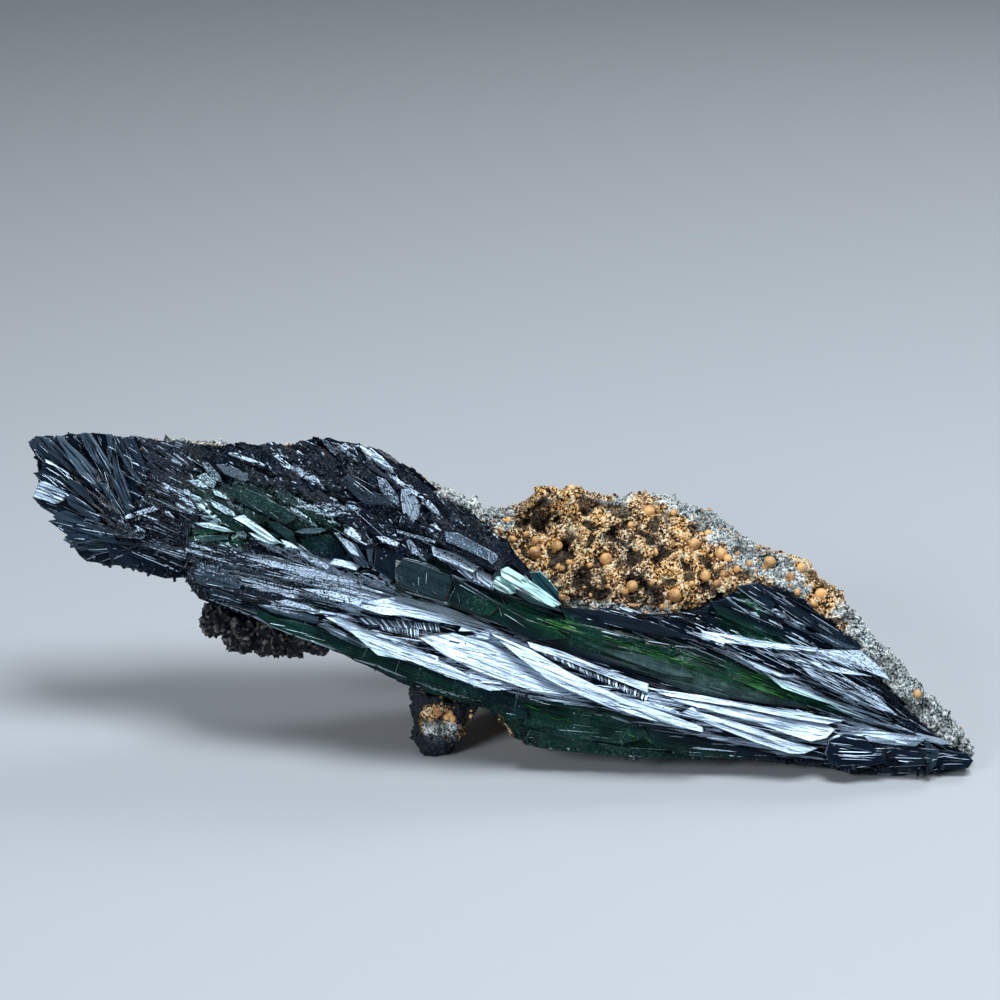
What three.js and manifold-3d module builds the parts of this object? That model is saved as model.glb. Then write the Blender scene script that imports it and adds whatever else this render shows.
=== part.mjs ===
// A vivianite specimen: sprays of bladed, dark green crystals grown together on a block of
// oolitic ironstone. The broken crystal face looks forward and up, and leans back on the block.
//
// Every piece is drawn in the face frame, in millimetres: x runs along the specimen, y runs up
// the crystal face and z points out of the face. The face group turns that frame to lean back,
// so that the specimen rests on +Z up, with its origin under the centre of its box.

import * as THREE from "three";
import { mergeVertices } from "three/addons/utils/BufferGeometryUtils.js";
import Module from "manifold-3d";

const wasm = await Module();
wasm.setup();

// ---------------------------------------------------------------- driving dimensions

const LEAN_BACK = THREE.MathUtils.degToRad(20); // the face's tilt from upright
const GAP = 0.3; // between pieces that touch
const TABLE = -24.9; // height of the surface it rests on, through the face frame's origin
const FRONT = 40; // a level well in front of every crystal
const THIN = 0.02; // the least height of a crystal body where it runs out

const UP = new THREE.Vector3(0, Math.cos(LEAN_BACK), Math.sin(LEAN_BACK));

// Colours, roughness and metalness of the minerals.
const MINERALS = {
  vivianite: { color: 0x10201f, roughness: 0.18, metalness: 0.0 },
  green_vivianite: { color: 0x123a2a, roughness: 0.12, metalness: 0.0 },
  teal_vivianite: { color: 0x7fc9bd, roughness: 0.15, metalness: 0.0 },
  crust: { color: 0x17191c, roughness: 0.45, metalness: 0.0 },
  ironstone: { color: 0x7a5c3c, roughness: 0.9, metalness: 0.0 },
  ooid: { color: 0xb5742c, roughness: 0.6, metalness: 0.0 },
};

// ---------------------------------------------------------------- lines of the crystal bodies

// Lines along which two bodies meet on the face, as [x, y].
const SEAMS = {
  ridge_spray: [[-48, 7.9], [-43.3, 7.6], [-36.4, 7], [-29.8, 5.2], [-23.7, 3.1], [-19, 1.8],
    [-16.4, 1.4]],
  ridge_prism: [[-15.8, 6.4], [-12.1, 6.3], [-9, 5.2], [-6.4, 3.5], [-3.1, 2.6], [0.9, 1.4],
    [4.6, 0], [8.6, -0.8]],
  prism_spray: [[-15.8, 1.3], [-9.2, -0.3], [-0.6, -3.4], [4.4, -5.7], [9.2, -7.6], [15.3, -9.6],
    [25.7, -12.5], [33.2, -14.8], [48.2, -16.9]],
  prism_sheaf: [[15.3, -1.8], [21.4, -3.4], [27.5, -5.5], [33.2, -7.8], [38.7, -10.7],
    [44.4, -13.8], [48.2, -16.5]],
  sheaf_spray: [[48.4, -17], [56.6, -18.7], [66, -21.2]],
  wedge_sheaf: [[28.2, -2.7], [30.6, -3.1], [39.8, -4.9], [55.2, -7.8]],
};

// Each body's top and foot run along the face as [x, y] and its crest as [x, y, z]. The other
// lines give the depth of the top, the foot and the back as [x, z].
const BODIES = {
  left_fan: {
    top: [[-72.8, 24.3], [-71.6, 25.5], [-62.9, 25.9], [-57.1, 25.1], [-53.5, 24.6],
      [-48.4, 23.9]],
    crest: [[-72.8, 24, -6.2], [-68, 19, -3.6], [-60, 16, -1.6], [-48.4, 15, 0.6]],
    foot: [[-72.8, 23.4], [-71.9, 19.3], [-71.8, 15.8], [-68.8, 12.5], [-65, 6.7], [-62, 5.5],
      [-54.8, 4.4], [-48.4, 3.6]],
    topDepth: [[-72.8, -7], [-62.9, -5.2], [-48.4, -3.4]],
    footDepth: [[-72.8, -7.2], [-68.8, -5], [-65, -4.4], [-48.4, -3.4]],
    backDepth: [[-72.8, -8.6], [-66, -9.4], [-57, -9], [-48.4, -7.4]],
  },
  upper_ridge: {
    top: [[-48, 23.8], [-43.3, 23.6], [-40.4, 24.3], [-33.5, 23.4], [-30.6, 24.5],
      [-27.7, 24.9], [-23.9, 24.3], [-19, 23.3], [-16.5, 22], [-11.6, 17.7], [-9.9, 16.2],
      [-4.1, 13.2], [-2.1, 10.9], [1.2, 9.2], [2.4, 6.4], [7, 2.6], [8.6, 0.6]],
    crest: [[-48, 15.6, 0.6], [-36, 13, 2.4], [-24, 12.5, 3.4], [-14, 11.8, 3.8],
      [-6, 8.4, 3.2], [2, 4, 2.4], [8.6, 0, 1.2]],
    foot: [...SEAMS.ridge_spray, [-16.1, 6.5], ...SEAMS.ridge_prism],
    topDepth: [[-48, -3.4], [-40.4, -4.6], [-27.7, -5], [-16.5, -4], [1.2, -1.2], [8.6, 0.8]],
    footDepth: [[-48, 0.4], [-29.8, 1.2], [-16.4, 1.8], [-12.1, 2.6], [0.9, 1.8], [8.6, 1]],
    backDepth: [[-48, -5.6], [-14, -6.2], [8.6, -4.2]],
  },
  main_spray: {
    top: [...SEAMS.ridge_spray, ...SEAMS.prism_spray, ...SEAMS.sheaf_spray],
    crest: [[-48, 3.2, 0.6], [-41.3, -0.2, 2.4], [-29.8, -3.2, 4], [-22.9, -5.7, 5],
      [-10.7, -9, 6.4], [0.8, -13, 7.2], [9.2, -13.6, 7.2], [18.4, -15.9, 6.4],
      [27.5, -18.7, 5.4], [36.7, -21.6, 4.4], [44.4, -23.2, 3.4], [47.7, -23.4, 3.2],
      [52.8, -19.6, 3.2], [66, -21.4, 2]],
    foot: [[-48, 2.4], [-46.2, 0], [-41.3, -1.8], [-32.6, -4.4], [-22.9, -8.9],
      [-13.5, -13.5], [-6.4, -15.5], [-1.5, -16.2], [0.9, -18.2], [2.3, -21.4], [5.2, -22.5],
      [15.3, -22.3], [19.7, -23.3], [30.6, -23.9], [40.2, -24.4], [47.7, -23.9], [52.8, -20],
      [66, -21.7]],
    topDepth: [[-48, 0.2], [-29.8, 1.2], [-9.2, 1.8], [4.4, 3], [25.7, 3.6], [66, 2]],
    footDepth: [[-48, -0.8], [-32.6, 1.8], [-13.5, 1.4], [0.9, 0.8], [5.2, -1], [19.7, 0],
      [47.7, 2.6], [66, 1.6]],
    backDepth: [[-48, -4.2], [0, -5.6], [30, -5], [66, -2]],
  },
  stout_prism: {
    top: [...SEAMS.ridge_prism, ...SEAMS.prism_sheaf],
    crest: [[-15.8, 3.4, 6.4], [-3.1, 0, 6], [8.6, -3.8, 5], [21.4, -7.4, 4],
      [33.2, -11.2, 3.4], [48.2, -16.6, 2.6]],
    foot: SEAMS.prism_spray,
    topDepth: [[-15.8, 4.6], [-3.1, 3.6], [8.6, 2.4], [48.2, 2.2]],
    footDepth: [[-15.8, 5.6], [-0.6, 5.4], [15.3, 4], [48.2, 2.2]],
    backDepth: [[-15.8, -2.6], [48.2, -2.6]],
  },
  right_sheaf: {
    top: [[15.3, -1.2], [21.4, -2.1], ...SEAMS.wedge_sheaf, [58.1, -12.2], [61.2, -16.1],
      [66, -20.7]],
    crest: [[15.3, -1.5, 2], [28, -4.2, 2.8], [40, -8.4, 3.2], [52, -13.5, 3.2],
      [66, -20.9, 1.2]],
    foot: [...SEAMS.prism_sheaf, ...SEAMS.sheaf_spray],
    topDepth: [[15.3, 1.6], [55.2, 0.8], [66, 0.8]],
    footDepth: [[15.3, 1.6], [27.5, 2.2], [48.2, 2.2], [66, 1]],
    backDepth: [[15.3, -3.2], [66, -3]],
  },
  right_wedge: {
    top: [[28.2, -2.3], [30.6, -1.1], [36, 1.2], [39.8, 2.6], [45.9, 0.5], [55.2, -7.3]],
    crest: [[28.2, -2.5, 0.4], [40, -1.6, 1.4], [48, -4.4, 1.2], [55.2, -7.5, 0.2]],
    foot: SEAMS.wedge_sheaf,
    topDepth: [[28.2, -0.2], [39.8, -1.8], [55.2, -0.2]],
    footDepth: [[28.2, 0.2], [39.8, 0.8], [55.2, 0]],
    backDepth: [[28.2, -4.4], [55.2, -3.6]],
  },
  tip_cluster: {
    top: [[48, -24.3], [52.8, -20.4], [56.6, -20.9], [65.9, -22.1], [68.8, -22.6],
      [71.9, -23.8]],
    crest: [[48, -24.5, 2], [54, -22.6, 5], [62, -23.6, 4.6], [71.9, -24.2, 0.8]],
    foot: [[48, -24.9], [50.9, -26], [58.1, -26], [66.6, -26.6], [71.9, -25.2]],
    topDepth: [[48, 1.6], [56.6, 2.6], [71.9, 0.2]],
    footDepth: [[48, 1], [58.1, 1.4], [71.9, 0]],
    backDepth: [[48, -4.6], [60, -4.4], [71.9, -3]],
  },
};

// The ironstone block: its top and bottom edges as [x, y], and its front and back as [x, z].
// Its underside is bowed, and lowest at a share of the way from its front to its back.
const BLOCK = {
  start: -58.4,
  end: 72.2,
  step: 5,
  top: [[-58.4, 22], [-54, 24.9], [-43.3, 24.6], [-36, 23], [-19, 22.4], [-13, 19],
    [-8.7, 17.3], [-4.7, 14.8], [3.2, 13.8], [4.8, 16.2], [11.7, 17.2], [14.6, 16],
    [24.4, 16.8], [31.7, 13.8], [36.1, 10.1], [42.8, 8], [47.7, 5.5], [53.4, -0.3],
    [55.1, -4.1], [62, -10.6], [70.5, -19.4], [72.2, -23]],
  bottom: [[-58.4, 15], [-50, 9], [-42, 2], [-30, -3], [-20, -8], [-8, -12], [-1, -17], [4, -27],
    [12, -30], [72.2, -30]],
  frontTop: [[-58.4, -8], [-48, -6], [-36, -7], [-10, -7.5], [4, -9.5], [24, -11], [36, -7.5],
    [48, -4], [58, -0.5], [72.2, -0.8]],
  frontLow: [[-58.4, -8], [-48, -4.5], [-20, -4.5], [4, -2.4], [30, -1.4], [48, -0.6],
    [60, 0.6], [72.2, -0.4]],
  back: [[-58.4, -13], [-50, -16.5], [-28, -20.5], [-11, -24], [4, -27.5], [24, -30.5],
    [36, -29.5], [48, -26], [59, -20.5], [66, -15], [72.2, -6.5]],
  bow: 4.5,
  lowest: 0.6,
  sunk: 0.5,
  roughness: 1,
};

// Knobs that stand out of the block's front, as [x, y, z, radius].
const KNOBS = [[7, 14.6, -8.6, 2.9], [11.8, 15, -9.4, 2.6], [-4.6, 13.6, -7.6, 1.9]];

// The stub of ironstone that hangs under the face and stands on the table, as [x, y, z].
const STUB = {
  foot: [-10.8, -24.4, -7],
  head: [-8.2, -13.2, -6],
  footRadius: 2,
  headRadius: 6.4,
  roughness: 0.7,
};

// The lumps of dark crust under the left end of the main spray, as [x, y, z, radius].
const CRUST = [
  [-43.2, -2.6, -3.4, 3.2], [-39.6, -4.8, -3.2, 3.4], [-35.4, -5.2, -3.4, 3.5],
  [-31.2, -5.6, -3.8, 3.1], [-41, 0, -6.6, 4], [-34, -2, -7, 4.2], [-28.2, -6.6, -4.4, 2],
];
const CRUST_ROUGHNESS = 0.5;

// Two stout crystals that lie across the ridge: [x, y, z] of root and tip, and their section.
const LONE_CRYSTALS = {
  short_prism: { root: [-9.2, 10.2, 4.6], tip: [0.8, 5.6, 4.2], width: 3.6, depth: 2.6, roll: -14,
    point: 0.06 },
  teal_blade: { root: [-0.8, 4.4, 4.2], tip: [9.6, -1.4, 3.4], width: 2.6, depth: 1.5, roll: 16,
    point: 0.4 },
};

// The largest ooids on the block, as [x, y, radius].
const OOIDS = [
  [5.4, 7.2, 1], [8.9, 8.3, 0.85], [16.4, 6.3, 1], [20.4, 2, 0.95], [27, 0.6, 1.15],
  [23.3, 13.7, 1], [30.2, 8.6, 0.95], [34.3, 7.1, 0.95], [31.7, 3.6, 0.85], [41.8, 5.8, 0.95],
  [46.7, 4.8, 0.85], [49.5, 0.8, 1.05],
];
const OOID_SUNK = 0.25; // how far a ball's centre lies under the rock's surface, in radii

// ---------------------------------------------------------------- helpers

// A repeatable stream of numbers from 0 to 1.
function randomStream(seed) {
  let state = seed;
  return () => {
    state = (state + 0x6d2b79f5) | 0;
    let t = Math.imul(state ^ (state >>> 15), 1 | state);
    t = (t + Math.imul(t ^ (t >>> 7), 61 | t)) ^ t;
    return ((t ^ (t >>> 14)) >>> 0) / 4294967296;
  };
}

// The rest of a line's numbers at x, by straight interpolation between its points.
function lineAt(line, x) {
  const last = line.length - 1;
  if (x <= line[0][0]) return line[0].slice(1);
  if (x >= line[last][0]) return line[last].slice(1);
  const i = line.findIndex((point) => point[0] > x);
  const t = (x - line[i - 1][0]) / (line[i][0] - line[i - 1][0]);
  return line[i].slice(1).map((value, k) => THREE.MathUtils.lerp(line[i - 1][k + 1], value, t));
}

// Smooth lumps from -1 to 1 in space, a few millimetres across.
function lumps(x, y, z) {
  const coarse = Math.sin(0.9 * x + 1.3 * Math.sin(0.7 * z)) * Math.sin(0.8 * y + 0.5 * z);
  const fine = Math.sin(2.3 * x + 1.7 * y) * Math.sin(2.1 * z - 1.1 * x + 0.4);
  return 0.65 * coarse + 0.35 * fine;
}

// A closed skin over rings of [y, z] points, one ring at each x, with flat ends.
function loft(xs, rings) {
  const count = rings[0].length;
  const positions = rings.flatMap((ring, i) => ring.flatMap(([y, z]) => [xs[i], y, z]));
  const index = [];
  for (let i = 0; i < xs.length - 1; i++) {
    for (let j = 0; j < count; j++) {
      const a = i * count + j;
      const b = i * count + ((j + 1) % count);
      index.push(a, b, a + count, b, b + count, a + count);
    }
  }
  const capOf = (i) =>
    THREE.ShapeUtils.triangulateShape(rings[i].map(([y, z]) => new THREE.Vector2(y, z)), []);
  for (const [a, b, c] of capOf(0)) index.push(a, c, b);
  const end = (xs.length - 1) * count;
  for (const [a, b, c] of capOf(xs.length - 1)) index.push(end + a, end + b, end + c);
  return new THREE.BufferGeometry()
    .setAttribute("position", new THREE.Float32BufferAttribute(positions, 3))
    .setIndex(index);
}

// A closed geometry as a solid that can be joined and cut.
function solidOf(geometry) {
  const bare = geometry.clone();
  for (const name of Object.keys(bare.attributes)) {
    if (name !== "position") bare.deleteAttribute(name);
  }
  const merged = mergeVertices(bare, 1e-4);
  return new wasm.Manifold(
    new wasm.Mesh({
      numProp: 3,
      vertProperties: merged.attributes.position.array,
      triVerts: new Uint32Array(merged.index.array),
    }),
  );
}

function geometryOf(solid) {
  const mesh = solid.getMesh();
  return new THREE.BufferGeometry()
    .setAttribute("position", new THREE.BufferAttribute(mesh.vertProperties, 3))
    .setIndex(new THREE.BufferAttribute(mesh.triVerts, 1));
}

// ---------------------------------------------------------------- crystals

// The places along the specimen where any of the lines turns.
const turns = (...lines) =>
  [...new Set(lines.flat().map((point) => point[0]))].sort((a, b) => a - b);

// A body's edges and crest at x.
function sectionAt({ top, crest, foot, topDepth, footDepth, backDepth }, x) {
  const [high] = lineAt(top, x);
  const [low] = lineAt(foot, x);
  const [crestY, crestZ] = lineAt(crest, x);
  const [topZ] = lineAt(topDepth, x);
  const [footZ] = lineAt(footDepth, x);
  const [backZ] = lineAt(backDepth, x);
  return { high, low, crestY, crestZ, topZ, footZ, backZ };
}

// The skin of one crystal body, drawn in by half the gap above and below.
function crystalBody(body) {
  const xs = turns(body.top, body.crest, body.foot);
  const rings = xs.map((x) => {
    const { high, low, crestY, crestZ, topZ, footZ, backZ } = sectionAt(body, x);
    const top = high - GAP / 2;
    const foot = low + GAP / 2;
    const middle = THREE.MathUtils.clamp(crestY, foot + THIN, top - THIN);
    return [[top, backZ], [top, topZ], [middle, crestZ], [foot, footZ], [foot, backZ]];
  });
  return solidOf(loft(xs, rings));
}

// The space that a body takes out of what lies behind it.
function seatOf(body) {
  const xs = turns(body.top, body.foot);
  const rings = xs.map((x) => {
    const { high, low, backZ } = sectionAt(body, x);
    const back = backZ - GAP;
    return [[high + GAP, back], [high + GAP, FRONT], [low - GAP, FRONT], [low - GAP, back]];
  });
  const ends = [xs[0] - GAP, xs[xs.length - 1] + GAP];
  const stations = [ends[0], ...xs, ends[1]];
  return solidOf(loft(stations, [rings[0], ...rings, rings[rings.length - 1]]));
}

// A flat bladed crystal from root to tip, with a chisel end and the given roll about its length.
function bladeGeometry({ root, tip, width, depth, roll = 0, point = 0.2 }, grow = 0) {
  const start = new THREE.Vector3(...root);
  const along = new THREE.Vector3(...tip).sub(start);
  const length = along.length();
  const half = width / 2 + grow;
  const shoulder = length * (1 - point);
  const outline = new THREE.Shape([
    new THREE.Vector2(-grow, -half * 0.8),
    new THREE.Vector2(shoulder, -half),
    new THREE.Vector2(length + grow, -half * 0.1),
    new THREE.Vector2(shoulder + point * length * 0.4, half * 0.8),
    new THREE.Vector2(shoulder * 0.7, half),
    new THREE.Vector2(-grow, half * 0.9),
  ]);
  const thick = depth + 2 * grow;
  const blade = new THREE.ExtrudeGeometry(outline, { depth: thick, bevelEnabled: false });
  blade.translate(0, 0, -thick / 2);
  blade.rotateX(THREE.MathUtils.degToRad(roll));
  const axis = along.normalize();
  const across = new THREE.Vector3(0, 0, 1).cross(axis).normalize();
  const normal = axis.clone().cross(across);
  return blade.applyMatrix4(new THREE.Matrix4().makeBasis(axis, across, normal).setPosition(start));
}

// Height of a body's front at (x, y), between its foot, crest and top.
function frontAt(body, x, y) {
  const { high, low, crestY, crestZ, topZ, footZ } = sectionAt(body, x);
  if (y > crestY) return THREE.MathUtils.mapLinear(y, crestY, high + THIN, crestZ, topZ);
  return THREE.MathUtils.mapLinear(y, low - THIN, crestY, footZ, crestZ);
}

// Blades that follow a body from near its foot to near its top and stand a little proud of it.
function bladesAlong(body, { count, from, to, length, width, depth, proud, seed }) {
  const random = randomStream(seed);
  return Array.from({ length: count }, (_, i) => {
    const across = (i + 0.5) / count;
    const x0 = THREE.MathUtils.lerp(from, to - length, random());
    const x1 = x0 + length * (0.75 + 0.25 * random());
    const [root, tip] = [x0, x1].map((x) => {
      const { high, low } = sectionAt(body, x);
      const y = THREE.MathUtils.lerp(low, high, across);
      return [x, y, frontAt(body, x, y) + proud - depth / 2];
    });
    const roll = -10 + 34 * random();
    return solidOf(bladeGeometry({ root, tip, width, depth, roll, point: 0.25 }));
  });
}

// Blades that leave one focus and end along a rim.
function bladesFrom(focus, rim, { width, depth, proud, seed }) {
  const random = randomStream(seed);
  return rim.map(([x, y, z]) => {
    const root = [focus[0] + 2 * random(), focus[1] + 4 * (random() - 0.5), focus[2] - depth / 2];
    const blade = { root, tip: [x, y, z + proud], width, depth, roll: 24 * random() - 6 };
    return solidOf(bladeGeometry(blade));
  });
}

// Keeps blades inside their own body's outline, so that neighbouring bodies stay apart.
function cellOf(body) {
  const xs = turns(body.top, body.foot);
  const rings = xs.map((x) => {
    const { high, low } = sectionAt(body, x);
    const top = Math.max(high - GAP / 2, (high + low) / 2 + THIN);
    const foot = Math.min(low + GAP / 2, (high + low) / 2 - THIN);
    return [[top, -FRONT], [top, FRONT], [foot, FRONT], [foot, -FRONT]];
  });
  return solidOf(loft(xs, rings));
}

const BLADE_SETS = {
  left_fan: () =>
    bladesFrom([-56, 11.5, -0.4], [
      [-57.4, 24.6, -4.6], [-60, 25.3, -5], [-62.8, 25.4, -5.4], [-65.6, 25.2, -5.8],
      [-68.6, 25.1, -6.4], [-71.8, 24.6, -6.8], [-71.6, 21, -6.4], [-71.4, 17.6, -6.2],
      [-68.4, 13.8, -5.4], [-66.4, 10.2, -5],
    ], { width: 2.4, depth: 1.4, proud: 0.4, seed: 11 }),
  upper_ridge: () =>
    bladesAlong(BODIES.upper_ridge,
      { count: 9, from: -46, to: 2, length: 14, width: 3, depth: 1.6, proud: 0.6, seed: 5 }),
  main_spray: () =>
    bladesAlong(BODIES.main_spray,
      { count: 8, from: -40, to: 62, length: 44, width: 2.2, depth: 1.4, proud: 0.5, seed: 3 }),
  right_sheaf: () =>
    bladesAlong(BODIES.right_sheaf,
      { count: 6, from: 22, to: 62, length: 24, width: 1.8, depth: 1.2, proud: 0.5, seed: 8 }),
  right_wedge: () =>
    bladesAlong(BODIES.right_wedge,
      { count: 4, from: 31, to: 53, length: 14, width: 1.6, depth: 1.2, proud: 0.4, seed: 21 }),
};

// ---------------------------------------------------------------- rock

// Height of the table at depth z in the face frame.
const tableAt = (z) => (TABLE - z * UP.z) / UP.y;

// One round of the block at x: up the front, over the top, and down the back.
function blockRing(x) {
  const { lerp } = THREE.MathUtils;
  const [top] = lineAt(BLOCK.top, x);
  const [bottom] = lineAt(BLOCK.bottom, x);
  const [frontTop] = lineAt(BLOCK.frontTop, x);
  const [front] = lineAt(BLOCK.frontLow, x);
  const [back] = lineAt(BLOCK.back, x);
  const middle = (front + back) / 2;
  const bow = Math.min(BLOCK.bow, (top - tableAt(middle)) / 5);
  const low = lerp(front, back, BLOCK.lowest);
  const bowAt = (z) => bow * ((z - low) / (front - middle)) ** 2;
  const floorAt = (z) => Math.max(bottom, tableAt(z) + bowAt(z) - BLOCK.sunk);
  const height = top - floorAt(back);
  const upright = [
    [top - 0.02 * height, lerp(frontTop, back, 0.5)],
    [top, lerp(frontTop, back, 0.22)],
    [top - 0.03 * height, frontTop],
    [top - 0.22 * height, lerp(frontTop, front, 0.4)],
    [top - 0.45 * height, lerp(frontTop, front, 0.85)],
  ];
  const under = [0.04, 0.28, 0.55, 0.8].map((t) => lerp(front, back, t));
  const rear = [
    [lerp(floorAt(back), top, 0.12), back],
    [lerp(floorAt(back), top, 0.45), back + 0.3],
    [lerp(floorAt(back), top, 0.74), lerp(back, frontTop, 0.12)],
    [top - 0.08 * height, lerp(back, frontTop, 0.28)],
  ];
  const ring = [...upright, ...under.map((z) => [floorAt(z), z]), ...rear];
  const centre = [(top + floorAt(back)) / 2, middle];
  return ring.map(([y, z]) => {
    const outward = new THREE.Vector2(y - centre[0], z - centre[1]).normalize();
    const push = Math.min(BLOCK.roughness, 0.08 * height) * lumps(x, y, z);
    return [y + push * outward.x, z + push * outward.y];
  });
}

function blockSolid() {
  const count = Math.round((BLOCK.end - BLOCK.start) / BLOCK.step);
  const xs = Array.from({ length: count + 1 }, (_, i) =>
    THREE.MathUtils.lerp(BLOCK.start, BLOCK.end, i / count));
  return solidOf(loft(xs, xs.map(blockRing)));
}

// Pushes a round shape's points in and out along their own direction from its centre.
function roughened(geometry, amount) {
  const merged = mergeVertices(geometry.deleteAttribute("normal").deleteAttribute("uv"), 1e-4);
  const position = merged.attributes.position;
  const point = new THREE.Vector3();
  for (let i = 0; i < position.count; i++) {
    point.fromBufferAttribute(position, i);
    point.addScaledVector(point.clone().normalize(), amount * lumps(point.x, point.y, point.z + 2));
    position.setXYZ(i, point.x, point.y, point.z);
  }
  return merged;
}

function stubSolid() {
  const foot = new THREE.Vector3(...STUB.foot);
  const along = new THREE.Vector3(...STUB.head).sub(foot);
  const stub = roughened(
    new THREE.CylinderGeometry(STUB.headRadius, STUB.footRadius, along.length(), 11, 4),
    STUB.roughness,
  );
  stub.translate(0, along.length() / 2, 0);
  const up = new THREE.Vector3(0, 1, 0);
  stub.applyQuaternion(new THREE.Quaternion().setFromUnitVectors(up, along.normalize()));
  return solidOf(stub.translate(...STUB.foot));
}

function knobSolid([x, y, z, radius]) {
  const knob = new THREE.SphereGeometry(radius, 8, 6);
  return solidOf(roughened(knob, CRUST_ROUGHNESS).translate(x, y, z));
}

function crustSolid(grow = 0) {
  const balls = CRUST.map(([x, y, z, radius]) => {
    const ball = new THREE.SphereGeometry(radius + grow, 8, 6);
    return solidOf(roughened(ball, CRUST_ROUGHNESS).translate(x, y, z));
  });
  return balls.reduce((crust, ball) => crust.add(ball));
}

const ballSolid = (centre, radius) =>
  solidOf(new THREE.IcosahedronGeometry(radius, 1).translate(centre.x, centre.y, centre.z));

// Drops each ooid straight back onto the rock, and sinks it a little.
function seatOoids(rock) {
  const surface = new THREE.Mesh(geometryOf(rock), new THREE.MeshBasicMaterial());
  const caster = new THREE.Raycaster();
  const inward = new THREE.Vector3(0, 0, -1);
  return OOIDS.map(([x, y, radius]) => {
    caster.set(new THREE.Vector3(x, y, FRONT), inward);
    const [hit] = caster.intersectObject(surface);
    return { centre: hit.point.addScaledVector(hit.face.normal, -OOID_SUNK * radius), radius };
  });
}

// ---------------------------------------------------------------- assembly

const standing = (solid) => solid.trimByPlane(UP.toArray(), TABLE);
const crystals = {};
for (const [name, lines] of Object.entries(BODIES)) {
  const blades = BLADE_SETS[name]?.() ?? [];
  const grown = blades.reduce((solid, blade) => solid.add(blade), crystalBody(lines));
  crystals[name] = standing(grown.intersect(cellOf(lines)));
}

// Each lone crystal is let into everything that was placed before it.
const loneSeats = [];
for (const [name, crystal] of Object.entries(LONE_CRYSTALS)) {
  const seat = solidOf(bladeGeometry(crystal, GAP));
  for (const body of Object.keys(crystals)) crystals[body] = crystals[body].subtract(seat);
  loneSeats.push(seat);
  crystals[name] = solidOf(bladeGeometry(crystal));
}

const mainSeat = seatOf(BODIES.main_spray);
const fanSeat = seatOf(BODIES.left_fan);
crystals.dark_crust = crustSolid().subtract(mainSeat).subtract(fanSeat);

const rough = [blockSolid(), stubSolid(), ...KNOBS.map(knobSolid)];
let block = standing(rough.reduce((rock, part) => rock.add(part))).subtract(crustSolid(GAP));
for (const seat of [...Object.values(BODIES).map(seatOf), ...loneSeats]) block = block.subtract(seat);
const ooids = seatOoids(block);
for (const { centre, radius } of ooids) block = block.subtract(ballSolid(centre, radius + GAP));

const face = new THREE.Group();
face.rotation.x = Math.PI / 2 - LEAN_BACK;

const MINERAL_OF = {
  ironstone_block: "ironstone",
  dark_crust: "crust",
  stout_prism: "green_vivianite",
  teal_blade: "teal_vivianite",
};

function addPiece(name, solid, mineral = MINERAL_OF[name] ?? "vivianite") {
  const mesh = new THREE.Mesh(geometryOf(solid), new THREE.MeshStandardMaterial(MINERALS[mineral]));
  mesh.name = name;
  face.add(mesh);
}

// The largest part of a solid, where a cut has left crumbs beside it.
const largest = (solid) =>
  solid.decompose().reduce((best, part) => (part.volume() > best.volume() ? part : best));

addPiece("ironstone_block", largest(block));
for (const [name, solid] of Object.entries(crystals)) addPiece(name, largest(solid));
ooids.forEach(({ centre, radius }, i) =>
  addPiece(`ooid_${String(i + 1).padStart(2, "0")}`, ballSolid(centre, radius), "ooid"));

// The origin lies on the table, under the centre of the specimen's box.
const specimen = new THREE.Group();
specimen.add(face);
specimen.updateMatrixWorld(true);
const box = new THREE.Box3().setFromObject(specimen, true);
const centre = box.getCenter(new THREE.Vector3());
specimen.position.set(-centre.x, -centre.y, -box.min.z);

export default specimen;
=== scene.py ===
"""A vivianite specimen: sprays of glassy, bladed crystals grown on a block of oolitic ironstone.

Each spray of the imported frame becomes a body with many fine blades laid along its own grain. The
ironstone is carved into pits and grains, and set with round ooids. The stage is a pale table under
soft light. Lengths in the tables are millimetres of the face frame: u runs along the specimen,
v up its crystal face, and w out of the face.
"""

import math

import bpy
import numpy as np
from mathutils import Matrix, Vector, noise
from mathutils.bvhtree import BVHTree


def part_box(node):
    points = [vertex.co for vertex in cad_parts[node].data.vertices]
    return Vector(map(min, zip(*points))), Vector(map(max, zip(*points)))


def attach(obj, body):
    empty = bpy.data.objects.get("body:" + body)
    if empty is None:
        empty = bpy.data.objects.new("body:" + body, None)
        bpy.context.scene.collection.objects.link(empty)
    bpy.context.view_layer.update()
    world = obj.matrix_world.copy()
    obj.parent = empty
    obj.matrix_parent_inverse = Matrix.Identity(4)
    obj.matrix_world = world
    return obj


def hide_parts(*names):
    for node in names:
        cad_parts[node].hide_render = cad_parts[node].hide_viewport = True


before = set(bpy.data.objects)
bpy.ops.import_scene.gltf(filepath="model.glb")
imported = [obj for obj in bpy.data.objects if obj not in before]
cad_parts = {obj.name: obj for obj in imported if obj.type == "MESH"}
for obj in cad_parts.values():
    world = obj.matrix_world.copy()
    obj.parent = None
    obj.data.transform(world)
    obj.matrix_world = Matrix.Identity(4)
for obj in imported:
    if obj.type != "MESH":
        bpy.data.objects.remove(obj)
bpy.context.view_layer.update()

bl_info = {
    "name": "Vivianite specimen",
    "version": (1, 0, 0),
    "blender": (4, 5, 0),
    "location": "3D View > Sidebar > Vivianite",
    "description": "Builds bladed vivianite crystals on oolitic ironstone",
    "category": "Object",
}

MM = 0.001
TINY = 1e-9  # stands in for a length of 0 where it would divide

# ---------- the face frame

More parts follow.
